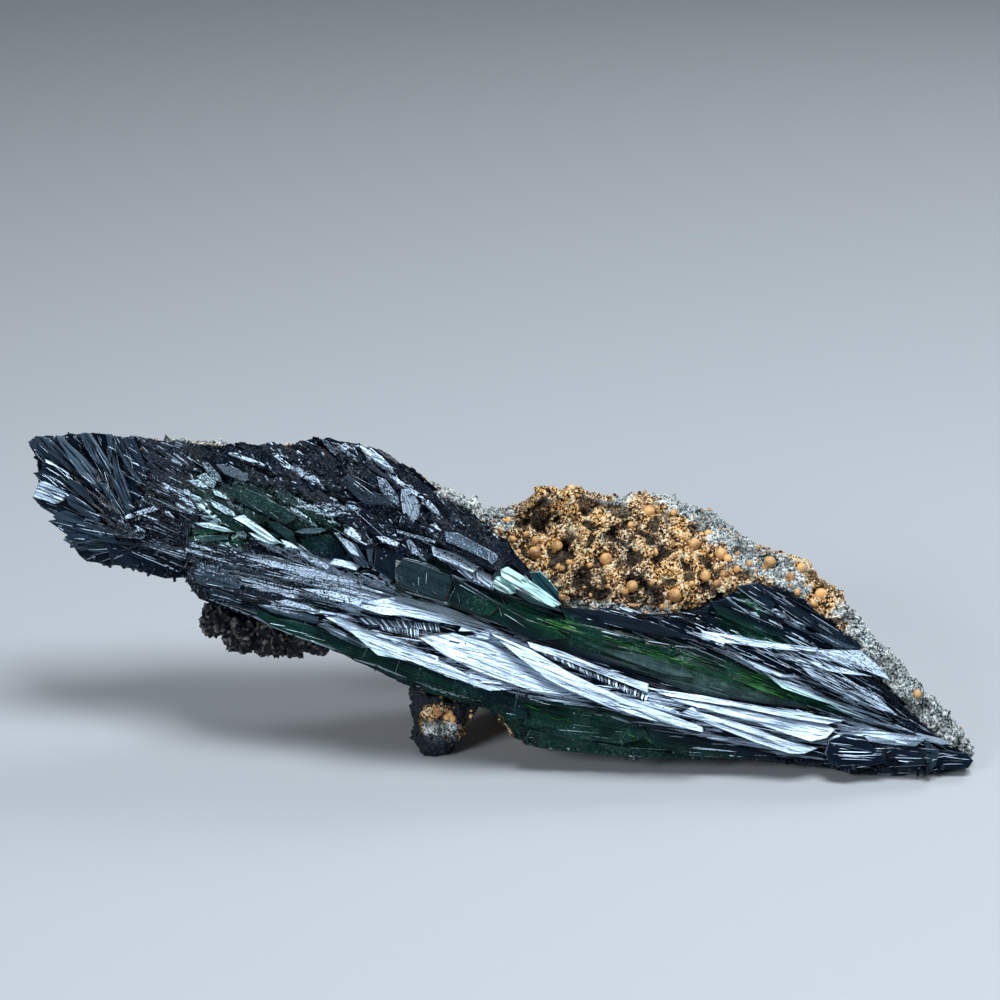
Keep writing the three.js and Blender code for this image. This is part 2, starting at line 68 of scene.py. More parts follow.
LEAN_BACK = math.radians(20)
FACE_ORIGIN = np.array([0.3, -8.573, 24.9])  # mm, in the frame
ALONG = np.array([1.0, 0.0, 0.0])
UPWARD = np.array([0.0, math.sin(LEAN_BACK), math.cos(LEAN_BACK)])
OUTWARD = np.array([0.0, -math.cos(LEAN_BACK), math.sin(LEAN_BACK)])
FACE_AXES = np.array([ALONG, UPWARD, OUTWARD])


def to_frame(points):
    """Points of the face frame, in millimetres, as points of the frame in metres."""
    return (np.asarray(points, float) @ FACE_AXES + FACE_ORIGIN) * MM


def to_face(points):
    """Points of the frame, in metres, as points of the face frame in millimetres."""
    return (np.asarray(points, float) / MM - FACE_ORIGIN) @ FACE_AXES.T


def unit(vectors):
    """The same directions, at length 1."""
    return vectors / np.maximum(np.linalg.norm(vectors, axis=-1, keepdims=True), TINY)


# ---------- the grain of each spray
# Stout slabs lie over a spray's sunken body, then plates, then fine blades, then the finest hairs.


def kind(count, length, width, thick, wander, tilt, lift, glint=0):
    """A kind of blade. A range is (least, most) in mm, and a tilt is (mean, spread) in degrees."""
    return {
        "count": count, "length": length, "width": width, "thick": thick, "wander": wander,
        "tilt": tilt, "lift": lift, "glint": glint,
    }


# focus: the place (u, v) that the blades point to, or away from, and wander about by an angle.
# sunk: how far the body lies under its blades. round: blades on the sides and the back, as a share
# of those in front. over: neighbours that the blades may run on to. shrunk: share of its size that
# the body keeps round its focus. past: a limit of u, and the spray whose grain it takes right of
# that. glint: share of blades that catch the light anywhere.
SPRAYS = {
    "left_fan": {
        "focus": (-54.4, 8.8), "away": True, "sunk": 1.7, "round": 1, "hairs": 700,
        "over": ("upper_ridge",), "shrunk": 0.88, "past": (-57, "upper_ridge"),
        "slabs": kind(90, (5, 14), (0.5, 1.6), (0.4, 0.9), 4, (6, 16), (-0.9, 0.1)),
        "blades": kind(520, (1, 6), (0.15, 0.5), (0.1, 0.25), 7, (6, 18), (-0.1, 0.12)),
    },
    "upper_ridge": {
        "focus": (40, -34), "away": False, "sunk": 1.3, "round": 0.45, "hairs": 140,
        "over": ("left_fan", "main_spray"),
        "slabs": kind(260, (3, 11), (0.6, 2), (0.5, 1.2), 9, (4, 14), (-0.9, 0.3)),
        "blades": kind(
            3800, (0.35, 1.5), (0.1, 0.32), (0.1, 0.3), 20, (6, 18), (-0.1, 0.16), glint=0.05,
        ),
    },
    "main_spray": {
        "focus": (84, -27.5), "away": False, "sunk": 1, "round": 0.25, "hairs": 1300,
        "over": ("left_fan", "upper_ridge", "right_sheaf", "tip_cluster"),
        "slabs": kind(170, (10, 40), (0.6, 2.2), (0.4, 1), 2, (0, 9), (-0.8, 0.15)),
        "blades": kind(2400, (3, 22), (0.12, 0.5), (0.08, 0.22), 2, (0, 10), (-0.08, 0.08)),
    },
    "right_sheaf": {
        "focus": (76, -25.5), "away": False, "sunk": 0.9, "round": 0.25, "hairs": 900,
        "over": ("main_spray", "right_wedge", "tip_cluster"),
        "slabs": kind(70, (8, 26), (0.5, 1.8), (0.4, 0.9), 3, (2, 12), (-0.7, 0.2)),
        "blades": kind(1500, (2, 14), (0.1, 0.36), (0.08, 0.22), 3, (2, 14), (-0.08, 0.1)),
    },
    "right_wedge": {
        "focus": (66, -15), "away": False, "sunk": 0.8, "round": 0.25, "hairs": 180,
        "over": ("right_sheaf",),
        "slabs": kind(40, (6, 18), (0.6, 1.8), (0.4, 0.9), 5, (-2, 12), (-0.5, 0.3)),
        "blades": kind(420, (2, 11), (0.12, 0.5), (0.1, 0.25), 5, (0, 14), (-0.08, 0.12)),
    },
    "tip_cluster": {
        "focus": (82, -25), "away": False, "sunk": 0.8, "round": 0.5, "hairs": 120,
        "over": ("main_spray",),
        "slabs": kind(44, (3, 9), (0.6, 1.8), (0.5, 1), 18, (-4, 18), (-0.6, 0.3)),
        "blades": kind(240, (1, 4), (0.15, 0.6), (0.12, 0.3), 20, (0, 20), (-0.1, 0.12)),
    },
    "stout_prism": {
        "focus": (95, -34), "away": False, "sunk": 0.3, "round": 0.2, "hairs": 70, "over": (),
        "slabs": kind(10, (26, 60), (1.6, 3.4), (0.4, 0.8), 1, (-1, 3), (-0.35, -0.15)),
        "blades": kind(160, (6, 34), (0.12, 0.8), (0.05, 0.14), 1, (0, 6), (-0.05, 0.03)),
    },
}

# The finest blades, which lie over everything else, as many as each spray says:
HAIRS = kind(0, (1.5, 9), (0.05, 0.18), (0.04, 0.1), 2.5, (6, 14), (0.02, 0.05), glint=0.3)

# How blades differ on the parts of a spray that do not face front:
AROUND = {"lift": (0.05, 0.4), "glint": 0.15}

# Plates of crystal, by spray: share of painted highlight, share of painted grey sheen otherwise,
# its tilt in degrees, how far it stands proud, and its outline as u, v, u, v and so on.
PLATES = {}
PLATES["left_fan"] = [
    (0.29, 0.35, 0, 0.3, [-72, 23, -70.1, 21.8, -67, 20.3, -64.6, 18.6, -63.8, 18.3, -66.2, 20.7,
     -68.6, 23.3, -71.1, 25.1, -72.2, 24.8, -72.8, 23.9]),
    (0.34, 0.55, 14, 0.5, [-68.6, 22.2, -66, 19.8, -63.8, 17.2, -63.1, 17.9, -65.3, 20.4, -67.2,
     22.7, -69.7, 24.8, -70.9, 25.1]),
    (0.44, 0.85, 18, 0.8, [-67.3, 23.3, -66, 21.2, -64.4, 19, -62.7, 17.4, -61.4, 16.8, -60.9, 17.2,
     -61.4, 18.3, -62.3, 19.8, -63.1, 20.9, -64.4, 22.2, -66.2, 23.6, -67.8, 25.2, -68.5, 25.3]),
    (0, 0.03, 0, -0.6, [-66, 23.5, -63.8, 20.9, -62.3, 19.2, -62.2, 20.1, -63.5, 21.4, -65.3, 24,
     -66.4, 25.6, -67.1, 25.5]),
    (0.39, 0.75, 16, 0.7, [-63.9, 23.8, -62.9, 22, -61.4, 20.5, -60.1, 18.8, -59, 17.2, -58.4, 17.2,
     -59.4, 19, -60.5, 20.9, -62.2, 23.1, -63.8, 25.7, -64.7, 25.5]),
    (0.6, 0.8, 20, 0.9, [-62, 22.9, -60, 20, -59.7, 20.3, -61.6, 23.1, -63.3, 25.7, -63.7, 25.7]),
    (0, 0.02, 0, -0.7, [-62.2, 24.2, -61.2, 22.5, -60.4, 21.1, -60.2, 24.6, -60.6, 25.5, -63.1,
     25.7]),
    (0.44, 0.9, 18, 0.8, [-60.4, 23.8, -60.4, 21.4, -60, 21, -59.8, 22, -59.7, 24.4, -60.1, 25.5,
     -60.7, 25.5]),
    (0, 0.12, 6, 0.1, [-59.4, 24, -58.1, 22.2, -56.6, 20.1, -54.9, 18.2, -54.5, 18.6, -55.7, 21.1,
     -57.1, 23.6, -58.4, 25.1, -59.6, 25.2]),
    (0.34, 0.5, 18, 0.5, [-57.9, 21.2, -55.5, 17.5, -54.9, 18.1, -56.4, 19.9, -59.1, 24, -59.4,
     24.2]),
    (0, 0.3, 8, 0.4, [-57.3, 23.5, -55.9, 21.2, -54.6, 19, -54.4, 19.8, -55.5, 22.7, -56.5, 24.9,
     -58.1, 24.9]),
    (0.24, 0.7, 16, 0.7, [-59.3, 19.8, -58.8, 17.5, -57.9, 15.5, -56.8, 13.4, -56.3, 13.7, -56.8,
     16, -57.7, 18.8, -58.5, 20.5, -59.5, 22.3]),
    (0, 0.04, 0, -0.5, [-57.7, 18.6, -56.6, 15.7, -55.9, 14.6, -55.2, 16.4, -55.7, 17.2, -57.3,
     19.8, -58.5, 21.1]),
    (0.24, 0.45, 12, 0.3, [-60.5, 16, -59, 14.2, -57.5, 12.7, -57, 13.2, -57.9, 14.7, -59.4, 16.4,
     -60.5, 17.9, -61.4, 17.9]),
    (0.34, 0.6, 16, 0.6, [-58.4, 15.5, -57, 12.9, -56.6, 13.4, -57.5, 16, -59.4, 18.8, -59.9,
     19.4]),
    (0, 0.04, 0, 0.5, [-70.4, 20.1, -69, 19.6, -67.3, 18.7, -66.4, 18.6, -66.8, 19.6, -68.6, 20.3,
     -70.1, 20.8, -70.7, 20.5]),
    (0.8, 0.8, 24, 0.8, [-70, 21.1, -68.6, 20.5, -66.9, 19.4, -66.5, 18.6, -66.3, 19.6, -67.7, 20.3,
     -69.4, 21.3, -70.2, 21.6]),
    (0, 0.2, 4, 0.3, [-71.4, 19, -70.5, 19.3, -69.4, 18.6, -66.8, 17.2, -64.6, 15.9, -63.8, 16,
     -65.9, 17.2, -68.1, 18.8, -70.5, 20, -71.4, 19.6, -72.1, 19.5]),
    (0.8, 1, 22, 1, [-71.9, 15.8, -70.5, 15.3, -68.6, 14.7, -67.8, 14.9, -66.6, 15.7, -67.1, 17,
     -68.1, 17.9, -69.8, 18.5, -71, 18.1, -71.4, 17.5]),
    (0, 0.1, -4, 0.4, [-70.1, 14.1, -68.8, 13.3, -66.8, 13.6, -63.8, 12.6, -61.6, 11.8, -62.7, 12.9,
     -64.9, 14.6, -66.8, 15.1, -68.6, 14.6, -70.5, 15.2, -71.9, 15.7]),
    (0, 0.4, 6, 0.5, [-66.4, 14.7, -64.6, 13.4, -62.3, 11.9, -61.4, 12.1, -62, 13.4, -63.8, 14.9,
     -66, 16.2, -67, 16.4]),
    (0, 0.3, 5, 0.4, [-66.8, 18.1, -64.9, 16.4, -63.1, 14.7, -62.3, 14.9, -63.6, 16.6, -64.6, 17.9,
     -66.2, 18.6]),
    (0.1, 0.45, -2, 0.6, [-67.8, 11.9, -66, 11, -63.8, 10.2, -61.2, 9.3, -58.7, 8.5, -59.7, 10.3,
     -61.2, 11.8, -63.1, 12.2, -64.9, 12.9, -66.8, 13.7, -68.1, 13.4, -68.9, 12.7]),
    (0, 0.35, -4, 0.4, [-66, 8.8, -63.8, 8.2, -61.2, 7.8, -58.4, 8, -61.2, 8.8, -63.8, 9.4, -64.6,
     10.1, -66.2, 10.1, -67.2, 9.6]),
    (0, 0.04, -8, 0.3, [-65, 6.8, -63.8, 5.8, -62.3, 5.7, -60.1, 4.9, -59.4, 6.6, -60.1, 7.9, -63.8,
     8.5, -65.9, 8.3]),
    (0, 0.08, -14, 0.5, [-59.7, 5.2, -58.4, 5.3, -56, 4.7, -54.7, 4.1, -53.8, 6.6, -55.7, 7.6,
     -60.5, 7.9]),
    (0, 0.03, -6, 0.3, [-54.7, 4.1, -51.6, 3.2, -47.9, 3.4, -47.7, 4.6, -51, 6.6, -55.7, 7.6]),
    (0.05, 0.3, 6, 0.2, [-72.4, 23.1, -70.4, 21.6, -67.3, 20.5, -62, 17.6, -65, 21.1, -69.2, 25.1,
     -71.8, 25.2, -73, 24.2]),
    (0, 0.15, 4, 0.3, [-69.6, 17.9, -67.3, 17.1, -64.3, 15.9, -66.4, 18.4, -68.8, 20.7, -70.7, 20.5,
     -70.8, 19, -72.1, 19.4]),
    (0.1, 0.35, 6, 0.3, [-70.8, 14.2, -68.8, 13, -65.8, 11.9, -62, 10.4, -64.3, 12.2, -67, 14.5,
     -69.6, 14.8, -72.2, 15.8]),
    (0, 0.3, 4, 0.3, [-67, 10.1, -63.5, 8.4, -58.4, 7.3, -61.2, 9.2, -65, 11.2, -67.9, 12.4, -69.6,
     12.1]),
    (0.3, 0.5, 10, 0.4, [-65.5, 8, -62.4, 7.2, -60, 7.3, -62.7, 9, -65.8, 10.3, -67.5, 9.2]),
]
PLATES["upper_ridge"] = [
    (0.6, 0.8, 22, 0.6, [-45.2, 19.9, -43.9, 18.4, -42.6, 18, -43.1, 19.2, -44.8, 21, -45.7, 21.1]),
    (0.35, 0.5, 16, 0.5, [-42.1, 19.2, -39.3, 18.1, -38.4, 18.3, -39.1, 19.4, -41.6, 20.8, -43.6,
     20.8]),
    (0.85, 0.6, 26, 0.6, [-46.2, 17.3, -44.6, 17, -44.8, 17.5, -46.2, 18.5, -47.9, 18.3]),
    (0.7, 0.6, 24, 0.6, [-44.9, 17.6, -43.9, 17.1, -43.5, 18, -45.2, 19.5, -46.4, 18.9]),
    (0.9, 0.6, 26, 0.5, [-43.5, 16.1, -41.9, 15.4, -41.2, 15.4, -42.9, 16.6, -44, 17]),
    (0.8, 0.7, 25, 0.6, [-43.6, 14.3, -41.3, 12.9, -40.1, 12.8, -40.6, 13.6, -42.6, 14.7, -44.3,
     15.4]),
    (0.95, 0.9, 26, 0.9, [-38.8, 11.6, -37, 10.3, -34.8, 9, -33.5, 8.8, -34.8, 10, -37, 11.8, -38.8,
     13.2, -40.6, 12.6]),
    (1, 1, 28, 1, [-37, 9.3, -34.8, 8.6, -33.6, 8.7, -36.3, 10, -38.3, 10.4]),
    (0.9, 0.8, 26, 0.6, [-45.7, 11.3, -42.6, 10.5, -40.3, 10.4, -41.6, 11, -44.4, 11.9, -46.7,
     11.8]),
    (0, 0.12, 0, 0.2, [-46.7, 10.2, -45.2, 9.9, -42.9, 10.3, -44.4, 10.9, -47.1, 10.7]),
    (0.5, 0.5, 22, 0.5, [-46.5, 9, -45.2, 8.9, -41.6, 9.3, -41.3, 10, -44.4, 9.9, -46.7, 9.8]),
    (1, 1, 28, 0.9, [-32.5, 8.1, -30.4, 7.8, -31.7, 8.9, -33.4, 9.3]),
    (0.25, 0.8, 10, 0.6, [-30.2, 10.2, -27.9, 10.2, -26.4, 10.7, -27.1, 11.1, -29.7, 11, -31.2,
     10.5]),
    (0, 0.3, 2, 0.5, [-21.6, 15.4, -18.5, 13.1, -15, 11.6, -15.2, 13.3, -17.5, 16.1, -21.1, 16.9,
     -22.8, 19.2, -24.6, 18.4]),
    (1, 0.9, 26, 1.1, [-15.1, 15.6, -14.7, 13.3, -13.4, 11.6, -12.4, 12.6, -12.2, 14.6, -13.4, 16.4,
     -15, 17]),
    (0.9, 0.7, 25, 0.6, [-17.8, 8.9, -15.5, 8.2, -15.2, 8.8, -17.5, 9.8, -18.8, 9.8]),
    (0.75, 0.6, 24, 0.5, [-18.3, 16.9, -16.5, 14.9, -15.2, 14.1, -15.7, 16.1, -17.5, 18.4, -18.8,
     18.9]),
    (0.6, 0.5, 22, 0.4, [-15.5, 10.3, -12.2, 9.3, -9.2, 8.6, -9.2, 9, -10.9, 9.5, -15.7, 10.8]),
    (1, 0.9, 27, 0.9, [-24.1, 5.2, -21.8, 4.6, -21.3, 5.2, -22.6, 6, -25.2, 6.4, -26, 5.6]),
    (0.5, 0.5, 20, 0.6, [-23.6, 8, -21.3, 5.2, -19.8, 5, -22.1, 7.5, -24.5, 10.3, -25.2, 10.3]),
    (0.8, 0.6, 24, 0.8, [-22.6, 7.2, -21.3, 6.7, -22.1, 8.5, -23.3, 9.3, -24.6, 9.7]),
    (0.1, 0.5, 10, 0.7, [-21.3, 6.5, -19.8, 5, -20, 5.7, -21.7, 8.5, -22.6, 9]),
    (0.1, 0.45, 8, 0.6, [-19.9, 5.6, -19.2, 5, -19.4, 6.5, -19, 8.5, -20.3, 7.9]),
    (0, 0.07, 0, 0.6, [-19.2, 4.9, -16.2, 2.9, -15.7, 3.9, -14.5, 7.2, -18.9, 8.3]),
    (0, 0.03, 0, 0, [-29.7, 7.5, -27.4, 6.5, -25.6, 6.2, -22.6, 5.5, -24.7, 9, -26.1, 10.2, -30.2,
     9.3]),
    (0, 0.05, 0, -0.1, [-41.1, 16.1, -38.8, 14.6, -34.8, 12.6, -32.7, 11.6, -30.7, 12.6, -32.7,
     14.1, -36.3, 16.1, -40.6, 17.9]),
    (0, 0.1, 0, 0.5, [-34.8, 11.2, -32.7, 9.5, -30.7, 8.3, -31.5, 10.5, -33.7, 11.8, -35.8, 12.3]),
    (0.6, 0.5, 20, 0.5, [-27.1, 23.9, -26, 22.6, -25, 21.9, -25.2, 22.3, -26.6, 24.4, -27.6, 24.7]),
    (0.5, 0.5, 20, 0.4, [-18, 20.1, -16.2, 19.3, -16, 19.4, -17.8, 20.6, -19, 21.3]),
    (0.9, 0.8, 25, 0.6, [-9.1, 6.2, -6.3, 4.7, -3.5, 3.2, -2.9, 3.4, -5.5, 5.2, -8.5, 6.9, -9.8,
     7.5]),
    (0.8, 0.6, 24, 0.6, [-5, 4.9, -3.5, 3.8, -2.4, 4.3, -2.7, 5.2, -4.6, 6, -5.9, 5.8]),
    (0.1, 0.15, 4, 0.5, [-1.8, 7.9, -0.3, 7.3, -0.1, 7.7, 1.4, 8.2, 1, 8.8, -1.6, 8.6, -3.3, 9]),
    (1, 1, 26, 1.7, [-10.1, 6.9, -7.6, 5.8, -4, 4.3, -3.1, 5.2, -6.9, 7.3, -10.4, 8.3]),
    (1, 1, 27, 1.9, [-3.4, 2.8, -1.2, 1.5, 0, 2.8, -1.5, 4, -3.7, 4.9]),
    (0.9, 0.9, 25, 1.8, [-6.4, 4.6, -4.6, 3.1, -3.4, 2.8, -4, 4.6, -6.6, 6.1]),
    (0, 0, 0, -0.4, [-1.8, 5.2, -0.3, 4.3, 0.6, 5.2, 0, 6.7, -1.5, 7]),
]
PLATES["main_spray"] = [
    (1, 1, 27, 0.6, [-26.1, 0.3, -21.1, -0.8, -16, -2, -9.2, -3.4, -6.8, -3.3, -9.2, -2.2, -16, -1,
     -21.1, 0.3, -26.1, 1.6, -30.2, 1.9]),
    (0, 0, 0, -0.7, [-29.2, -0.1, -27.1, -1, -24.9, -1.7, -21.1, -2, -17.2, -2.5, -13.4, -3, -9.2,
     -4.3, -9.2, -3.5, -16, -2.3, -21.1, -1.5, -26.1, -0.3, -28.7, 0.3, -31.2, 0.7]),
    (0.9, 0.9, 27, 0.7, [-24.6, -3.5, -21.6, -5.3, -18.5, -6.7, -17, -6.8, -19, -5.3, -22.1, -3.5,
     -24.6, -2.4, -26.4, -2.4]),
    (0.45, 0.5, 20, 0.4, [-24.9, -5.3, -21.1, -6.9, -18.5, -7.1, -22.3, -5.3, -26.1, -3.3, -27.6,
     -3.5]),
    (0.3, 0.5, 14, 0.3, [-34.8, -1.7, -31.2, -2.7, -27.9, -3.5, -27.4, -2.5, -31.2, -1.2, -33.7,
     -0.7, -36.8, -0.6]),
    (0.8, 0.8, 25, 0.6, [-31.2, -1, -28.2, -2, -26.6, -2, -29.7, -0.6, -32.5, 0.2, -34, -0.1]),
    (0, 0.05, 0, 0.2, [-37, -2.3, -34.8, -3.7, -31.2, -5.2, -28.7, -6, -26.1, -6.5, -26.1, -5,
     -27.4, -4.1, -31.2, -3, -33.7, -2.7, -36.8, -1.1]),
    (0, 0.08, 0, 0.3, [-26.3, -6.6, -24.6, -7.4, -22.3, -8.7, -19.8, -9.3, -18.5, -7.6, -20.3, -7.1,
     -23.6, -5.6, -27.3, -4.1]),
    (0, 0.04, 0, 0.2, [-21.1, -8.9, -18.5, -9.8, -14.2, -11.6, -12.9, -9, -16, -8.4, -20.2, -7.2]),
    (0.2, 0.35, 6, 0.5, [-47.4, 3.3, -46.4, 2.8, -42.6, 1.8, -39.8, 1.6, -39.3, 2.6, -41.3, 4.1,
     -43.9, 5.4, -46.2, 5.6, -47.2, 4.9]),
    (0, 0.15, -4, 0.5, [-43.9, 0.3, -41.3, -0.7, -39.8, -0.9, -39.5, -0.3, -40.6, 0.8, -43.6, 1.9,
     -45.2, 1.6]),
    (1, 1, 27, 0.9, [-10.9, -6.3, -9.2, -7.1, -5.8, -7.1, -7.4, -5.8, -9.2, -5, -10.9, -5.2, -12.4,
     -5.5]),
    (1, 1, 27, 0.8, [-16, -7.8, -12.9, -8.7, -9.2, -9.4, -9.2, -8.3, -13.4, -7.1, -16.5, -6]),
    (1, 1, 27, 0.9, [-18.4, -0.7, -12.2, -1.5, -6.1, -3.2, -1.5, -4.7, 4.8, -7.2, 4.1, -6.5, -3.1,
     -3.1, -9.2, -0.4, -15.3, 0.7, -20.9, -0.1]),
    (1, 1, 28, 0.6, [-18.4, -1.9, -13.3, -2.4, -5.6, -3.8, -6.1, -4.6, -3.1, -4.6, 3.1, -8.3, 8.2,
     -9.7, 4.8, -7.4, -1.5, -4.8, -6.1, -3.3, -12.2, -1.6, -18.4, -0.8, -22.9, -0.3]),
    (1, 0.9, 26, 1.1, [4.6, -7, 10.2, -9, 17.3, -11.8, 22.4, -13.8, 22.5, -12.5, 20.4, -11.9, 14.3,
     -9.6, 9.2, -7.5, 4.1, -6.1]),
    (1, 1, 27, 0.8, [3.1, -8.6, 7.1, -11.6, 12.2, -14.3, 17.3, -16.2, 22.4, -17.7, 30.6, -19.7,
     30.6, -19, 26.5, -17.4, 21.9, -15.7, 19.4, -14.7, 14.3, -12.6, 10.2, -10.6, 4.6, -7.2, -1.5,
     -4.7]),
    (1, 1, 26, 0.7, [-8.2, -8.2, -3.1, -10.6, 3.6, -13, 8.2, -13.7, 12.1, -14.1, 8.2, -11.8, 3.1,
     -8.8, -1.5, -6.4, -7.1, -4.8, -12.2, -5.4]),
    (0, 0, 0, -0.5, [-8.7, -4.4, -5.6, -5.2, -3.5, -4.6, -6.1, -3.2, -10.2, -3]),
    (0.85, 0.9, 26, 0.5, [-18.4, -8, -13.3, -9, -8.2, -11.1, -1.5, -13.4, 3.6, -13.2, -2, -12.6,
     -7.1, -9.8, -12.2, -7.2, -15.3, -5.7, -18.4, -4.8, -22.9, -4.2]),
    (0, 0, 0, -0.4, [-2.4, -11, -0.8, -11.3, -1.4, -10.1, -3.6, -8.9]),
    (0, 0.06, 0, 0.3, [-15.9, -10.7, -13.3, -12, -8.2, -13.3, -3.1, -15, 2, -17.8, 4.1, -17.8, 3.6,
     -13.7, -1.5, -13.4, -8.2, -11.1, -12.2, -9.4, -15.3, -8.9]),
    (0, 0, 0, -0.9, [-21.1, -3.3, -18.5, -4.3, -16.5, -5.5, -14.7, -5.7, -12.2, -5.5, -9.4, -4.7,
     -9.4, -3.6, -12.2, -3, -17.8, -2.4, -22.1, -2.5]),
    (0, 0, 0, -0.3, [7.1, -8.8, 10.2, -10.5, 14.3, -12.3, 19.4, -14.4, 22.2, -15.3, 22.2, -14.2,
     17.3, -12, 10.2, -9.1, 6.1, -7.2]),
    (1, 1, 27, 0.7, [25.1, -14.3, 30.6, -15.2, 37.4, -16.4, 44.3, -17.8, 49.7, -18.6, 52.5, -18.1,
     47.5, -17.3, 41.5, -16.3, 36.1, -15.4, 30.6, -14.3, 25.4, -13.6, 21.6, -12.9]),
    (1, 1, 28, 0.5, [26.5, -15.1, 30.6, -16.2, 34.7, -17.4, 38.8, -18.5, 42.9, -19.9, 47, -21.2,
     49.5, -20.7, 50.8, -19.5, 49.7, -18.7, 44.3, -18, 37.4, -16.6, 30.6, -15.4, 25.1, -14.3]),
    (0.95, 1, 27, 0.8, [27.3, -17, 30.6, -18.1, 34.7, -19.8, 38.8, -21.4, 43.7, -23, 45.9, -23.1,
     48.1, -22.3, 42.9, -20.9, 38.8, -19.2, 34.7, -18, 30.6, -16.9, 29, -16]),
    (0, 0.02, 0, -0.5, [22.4, -12.9, 25.1, -13.7, 29, -14.3, 30.6, -14, 27.3, -13.4, 24.3, -12.3,
     21.9, -11.8]),
    (0, 0.08, -4, 0.1, [3.8, -18.7, 9.2, -20.7, 18.4, -21.7, 22.9, -20.7, 21.4, -18.7, 11.5, -16.2,
     3.1, -15.3]),
    (0, 0.06, -6, 0.2, [22.2, -21.1, 24.5, -22.6, 33.7, -23.9, 42.1, -24, 41.3, -23.4, 30.6, -20.8,
     22.2, -18.4]),
    (0, 0.1, -8, 0.1, [3.4, -21.7, 9.2, -22.9, 21.4, -24, 30.6, -23.9, 21.4, -22.6, 15.3, -21.7,
     4.6, -19.6]),
]
PLATES["right_sheaf"] = [
    (0.88, 0.9, 27, 0.5, [30.6, -5.9, 36.1, -6.6, 41.5, -7.4, 48.1, -7.8, 48.4, -7.2, 41.5, -6.4,
     36.1, -5.3, 30.6, -4.6]),
    (1, 1, 27, 0.7, [46.7, -8.4, 51.7, -9.5, 56, -10.9, 59.4, -12.1, 57.2, -9.5, 54.8, -7.6, 48.2,
     -7.5, 42.8, -6.9]),
    (0.86, 0.9, 27, 0.5, [37.5, -8.4, 45.1, -9.8, 51.7, -11, 56.6, -11.5, 52.3, -10.3, 45.9, -8.7,
     39.8, -7.6, 33.7, -6.9]),
    (1.1, 1, 27, 1.8, [47.6, -11.9, 50.9, -13.8, 54.6, -15.3, 58.1, -16.7, 60.3, -17.4, 57.1, -14.5,
     53.2, -12.1, 48.7, -10.4, 45.7, -10.1]),
    (1, 1, 27, 0.9, [42.8, -13.2, 46.5, -14.5, 50.5, -15.8, 54.6, -16.8, 59.7, -18.2, 54.6, -16.4,
     50.8, -15.1, 47, -13.9, 43.3, -12.5, 40.1, -10.9]),
    (0, 0.02, 0, -0.2, [45.9, -15.5, 49.7, -16.8, 54.3, -17.9, 58.1, -18.4, 55.1, -17.3, 50.8,
     -16.1, 47, -14.8, 43.3, -13.5]),
    (0, 0.02, 0, -0.4, [50.3, -14.6, 55.2, -17.3, 60.7, -19.6, 63.1, -20.1, 58.2, -17.9, 54.1,
     -16.2, 49.7, -13.3, 45.9, -11.1]),
    (0.85, 0.9, 26, 0.7, [42.3, -12.2, 45.9, -13.4, 51.9, -16.7, 57.9, -18.8, 62, -19.8, 57.9,
     -18.4, 52.5, -16.2, 45.9, -12.9, 42.3, -11.8, 39.9, -10.7]),
    (0, 0, 0, 0.3, [37.5, -8.9, 42.8, -10.4, 45.9, -10.4, 44.4, -9.2, 37.5, -7.3, 34.6, -6.7]),
    (0, 0, 0, 0.4, [46.7, -15.9, 51.3, -18.1, 56.6, -19.7, 60.9, -19.7, 60.6, -18.8, 58.1, -18.1,
     52.8, -16.4, 47.7, -15, 44.7, -14.1]),
    (0, 0, 0, 0.3, [54.8, -12.7, 56.9, -14.1, 58.8, -14.2, 58.1, -13.5, 56, -11.9, 53.9, -11.3]),
    (0, 0.15, 2, 0.3, [52.5, -19.2, 57.9, -20.1, 63.4, -20.4, 59.3, -18.7, 53.8, -17.3, 49.7, -17]),
    (0.8, 0.8, 25, 0.6, [56.3, -14.5, 58.7, -15.6, 58.2, -14.7, 55.7, -13.3, 54.1, -12.9]),
    (0.9, 0.8, 26, 0.5, [38.8, -10.2, 42.3, -11.5, 45.9, -11.8, 44.8, -11.1, 43.2, -11.3, 39.6,
     -9.6, 36.1, -8.3]),
    (0, 0.02, 0, -0.3, [36.1, -8, 39.6, -9.2, 44.3, -11, 48.1, -11.8, 45.9, -10.2, 38.8, -7.8, 33.9,
     -7.4]),
]
PLATES["right_wedge"] = [
    (0, 0.1, 0, 0.4, [42.3, -0.6, 45.9, -3.3, 49.7, -5.5, 52.5, -7, 55.3, -7.3, 54.6, -6.3, 51.4,
     -4.4, 48.1, -2.5, 44.3, -0.1, 41.5, 1.9, 39.6, 2.7]),
    (0.8, 0.8, 25, 0.6, [36.6, -1.4, 38.8, -2.9, 39.6, -2.8, 37.7, -1.1, 35.8, 0.4, 34.2, 0.5]),
    (0, 0.08, 0, 0.3, [33.3, -2.2, 37.2, -4, 41.5, -5.4, 44.3, -5.5, 41, -3.6, 37.4, -1.7, 34.2,
     0.2, 32.2, -0.3]),
    (0.3, 0.6, 14, 0.6, [44.3, -3.9, 48.1, -5.5, 51.4, -7.2, 55.1, -7.4, 53.5, -6.9, 50.3, -5.5, 47,
     -4.7, 43.7, -2.8, 41.8, -2.2]),
    (0, 0, 0, 0.3, [44.3, -6.3, 49.7, -7.2, 53, -7.3, 50.8, -7, 48.1, -5.8, 44.8, -4.2, 41, -4.2]),
    (0, 0.2, 4, 0.5, [38.8, -0.3, 41, -1.7, 42.1, -0.6, 39.3, 2.7, 36.1, 2.1]),
]
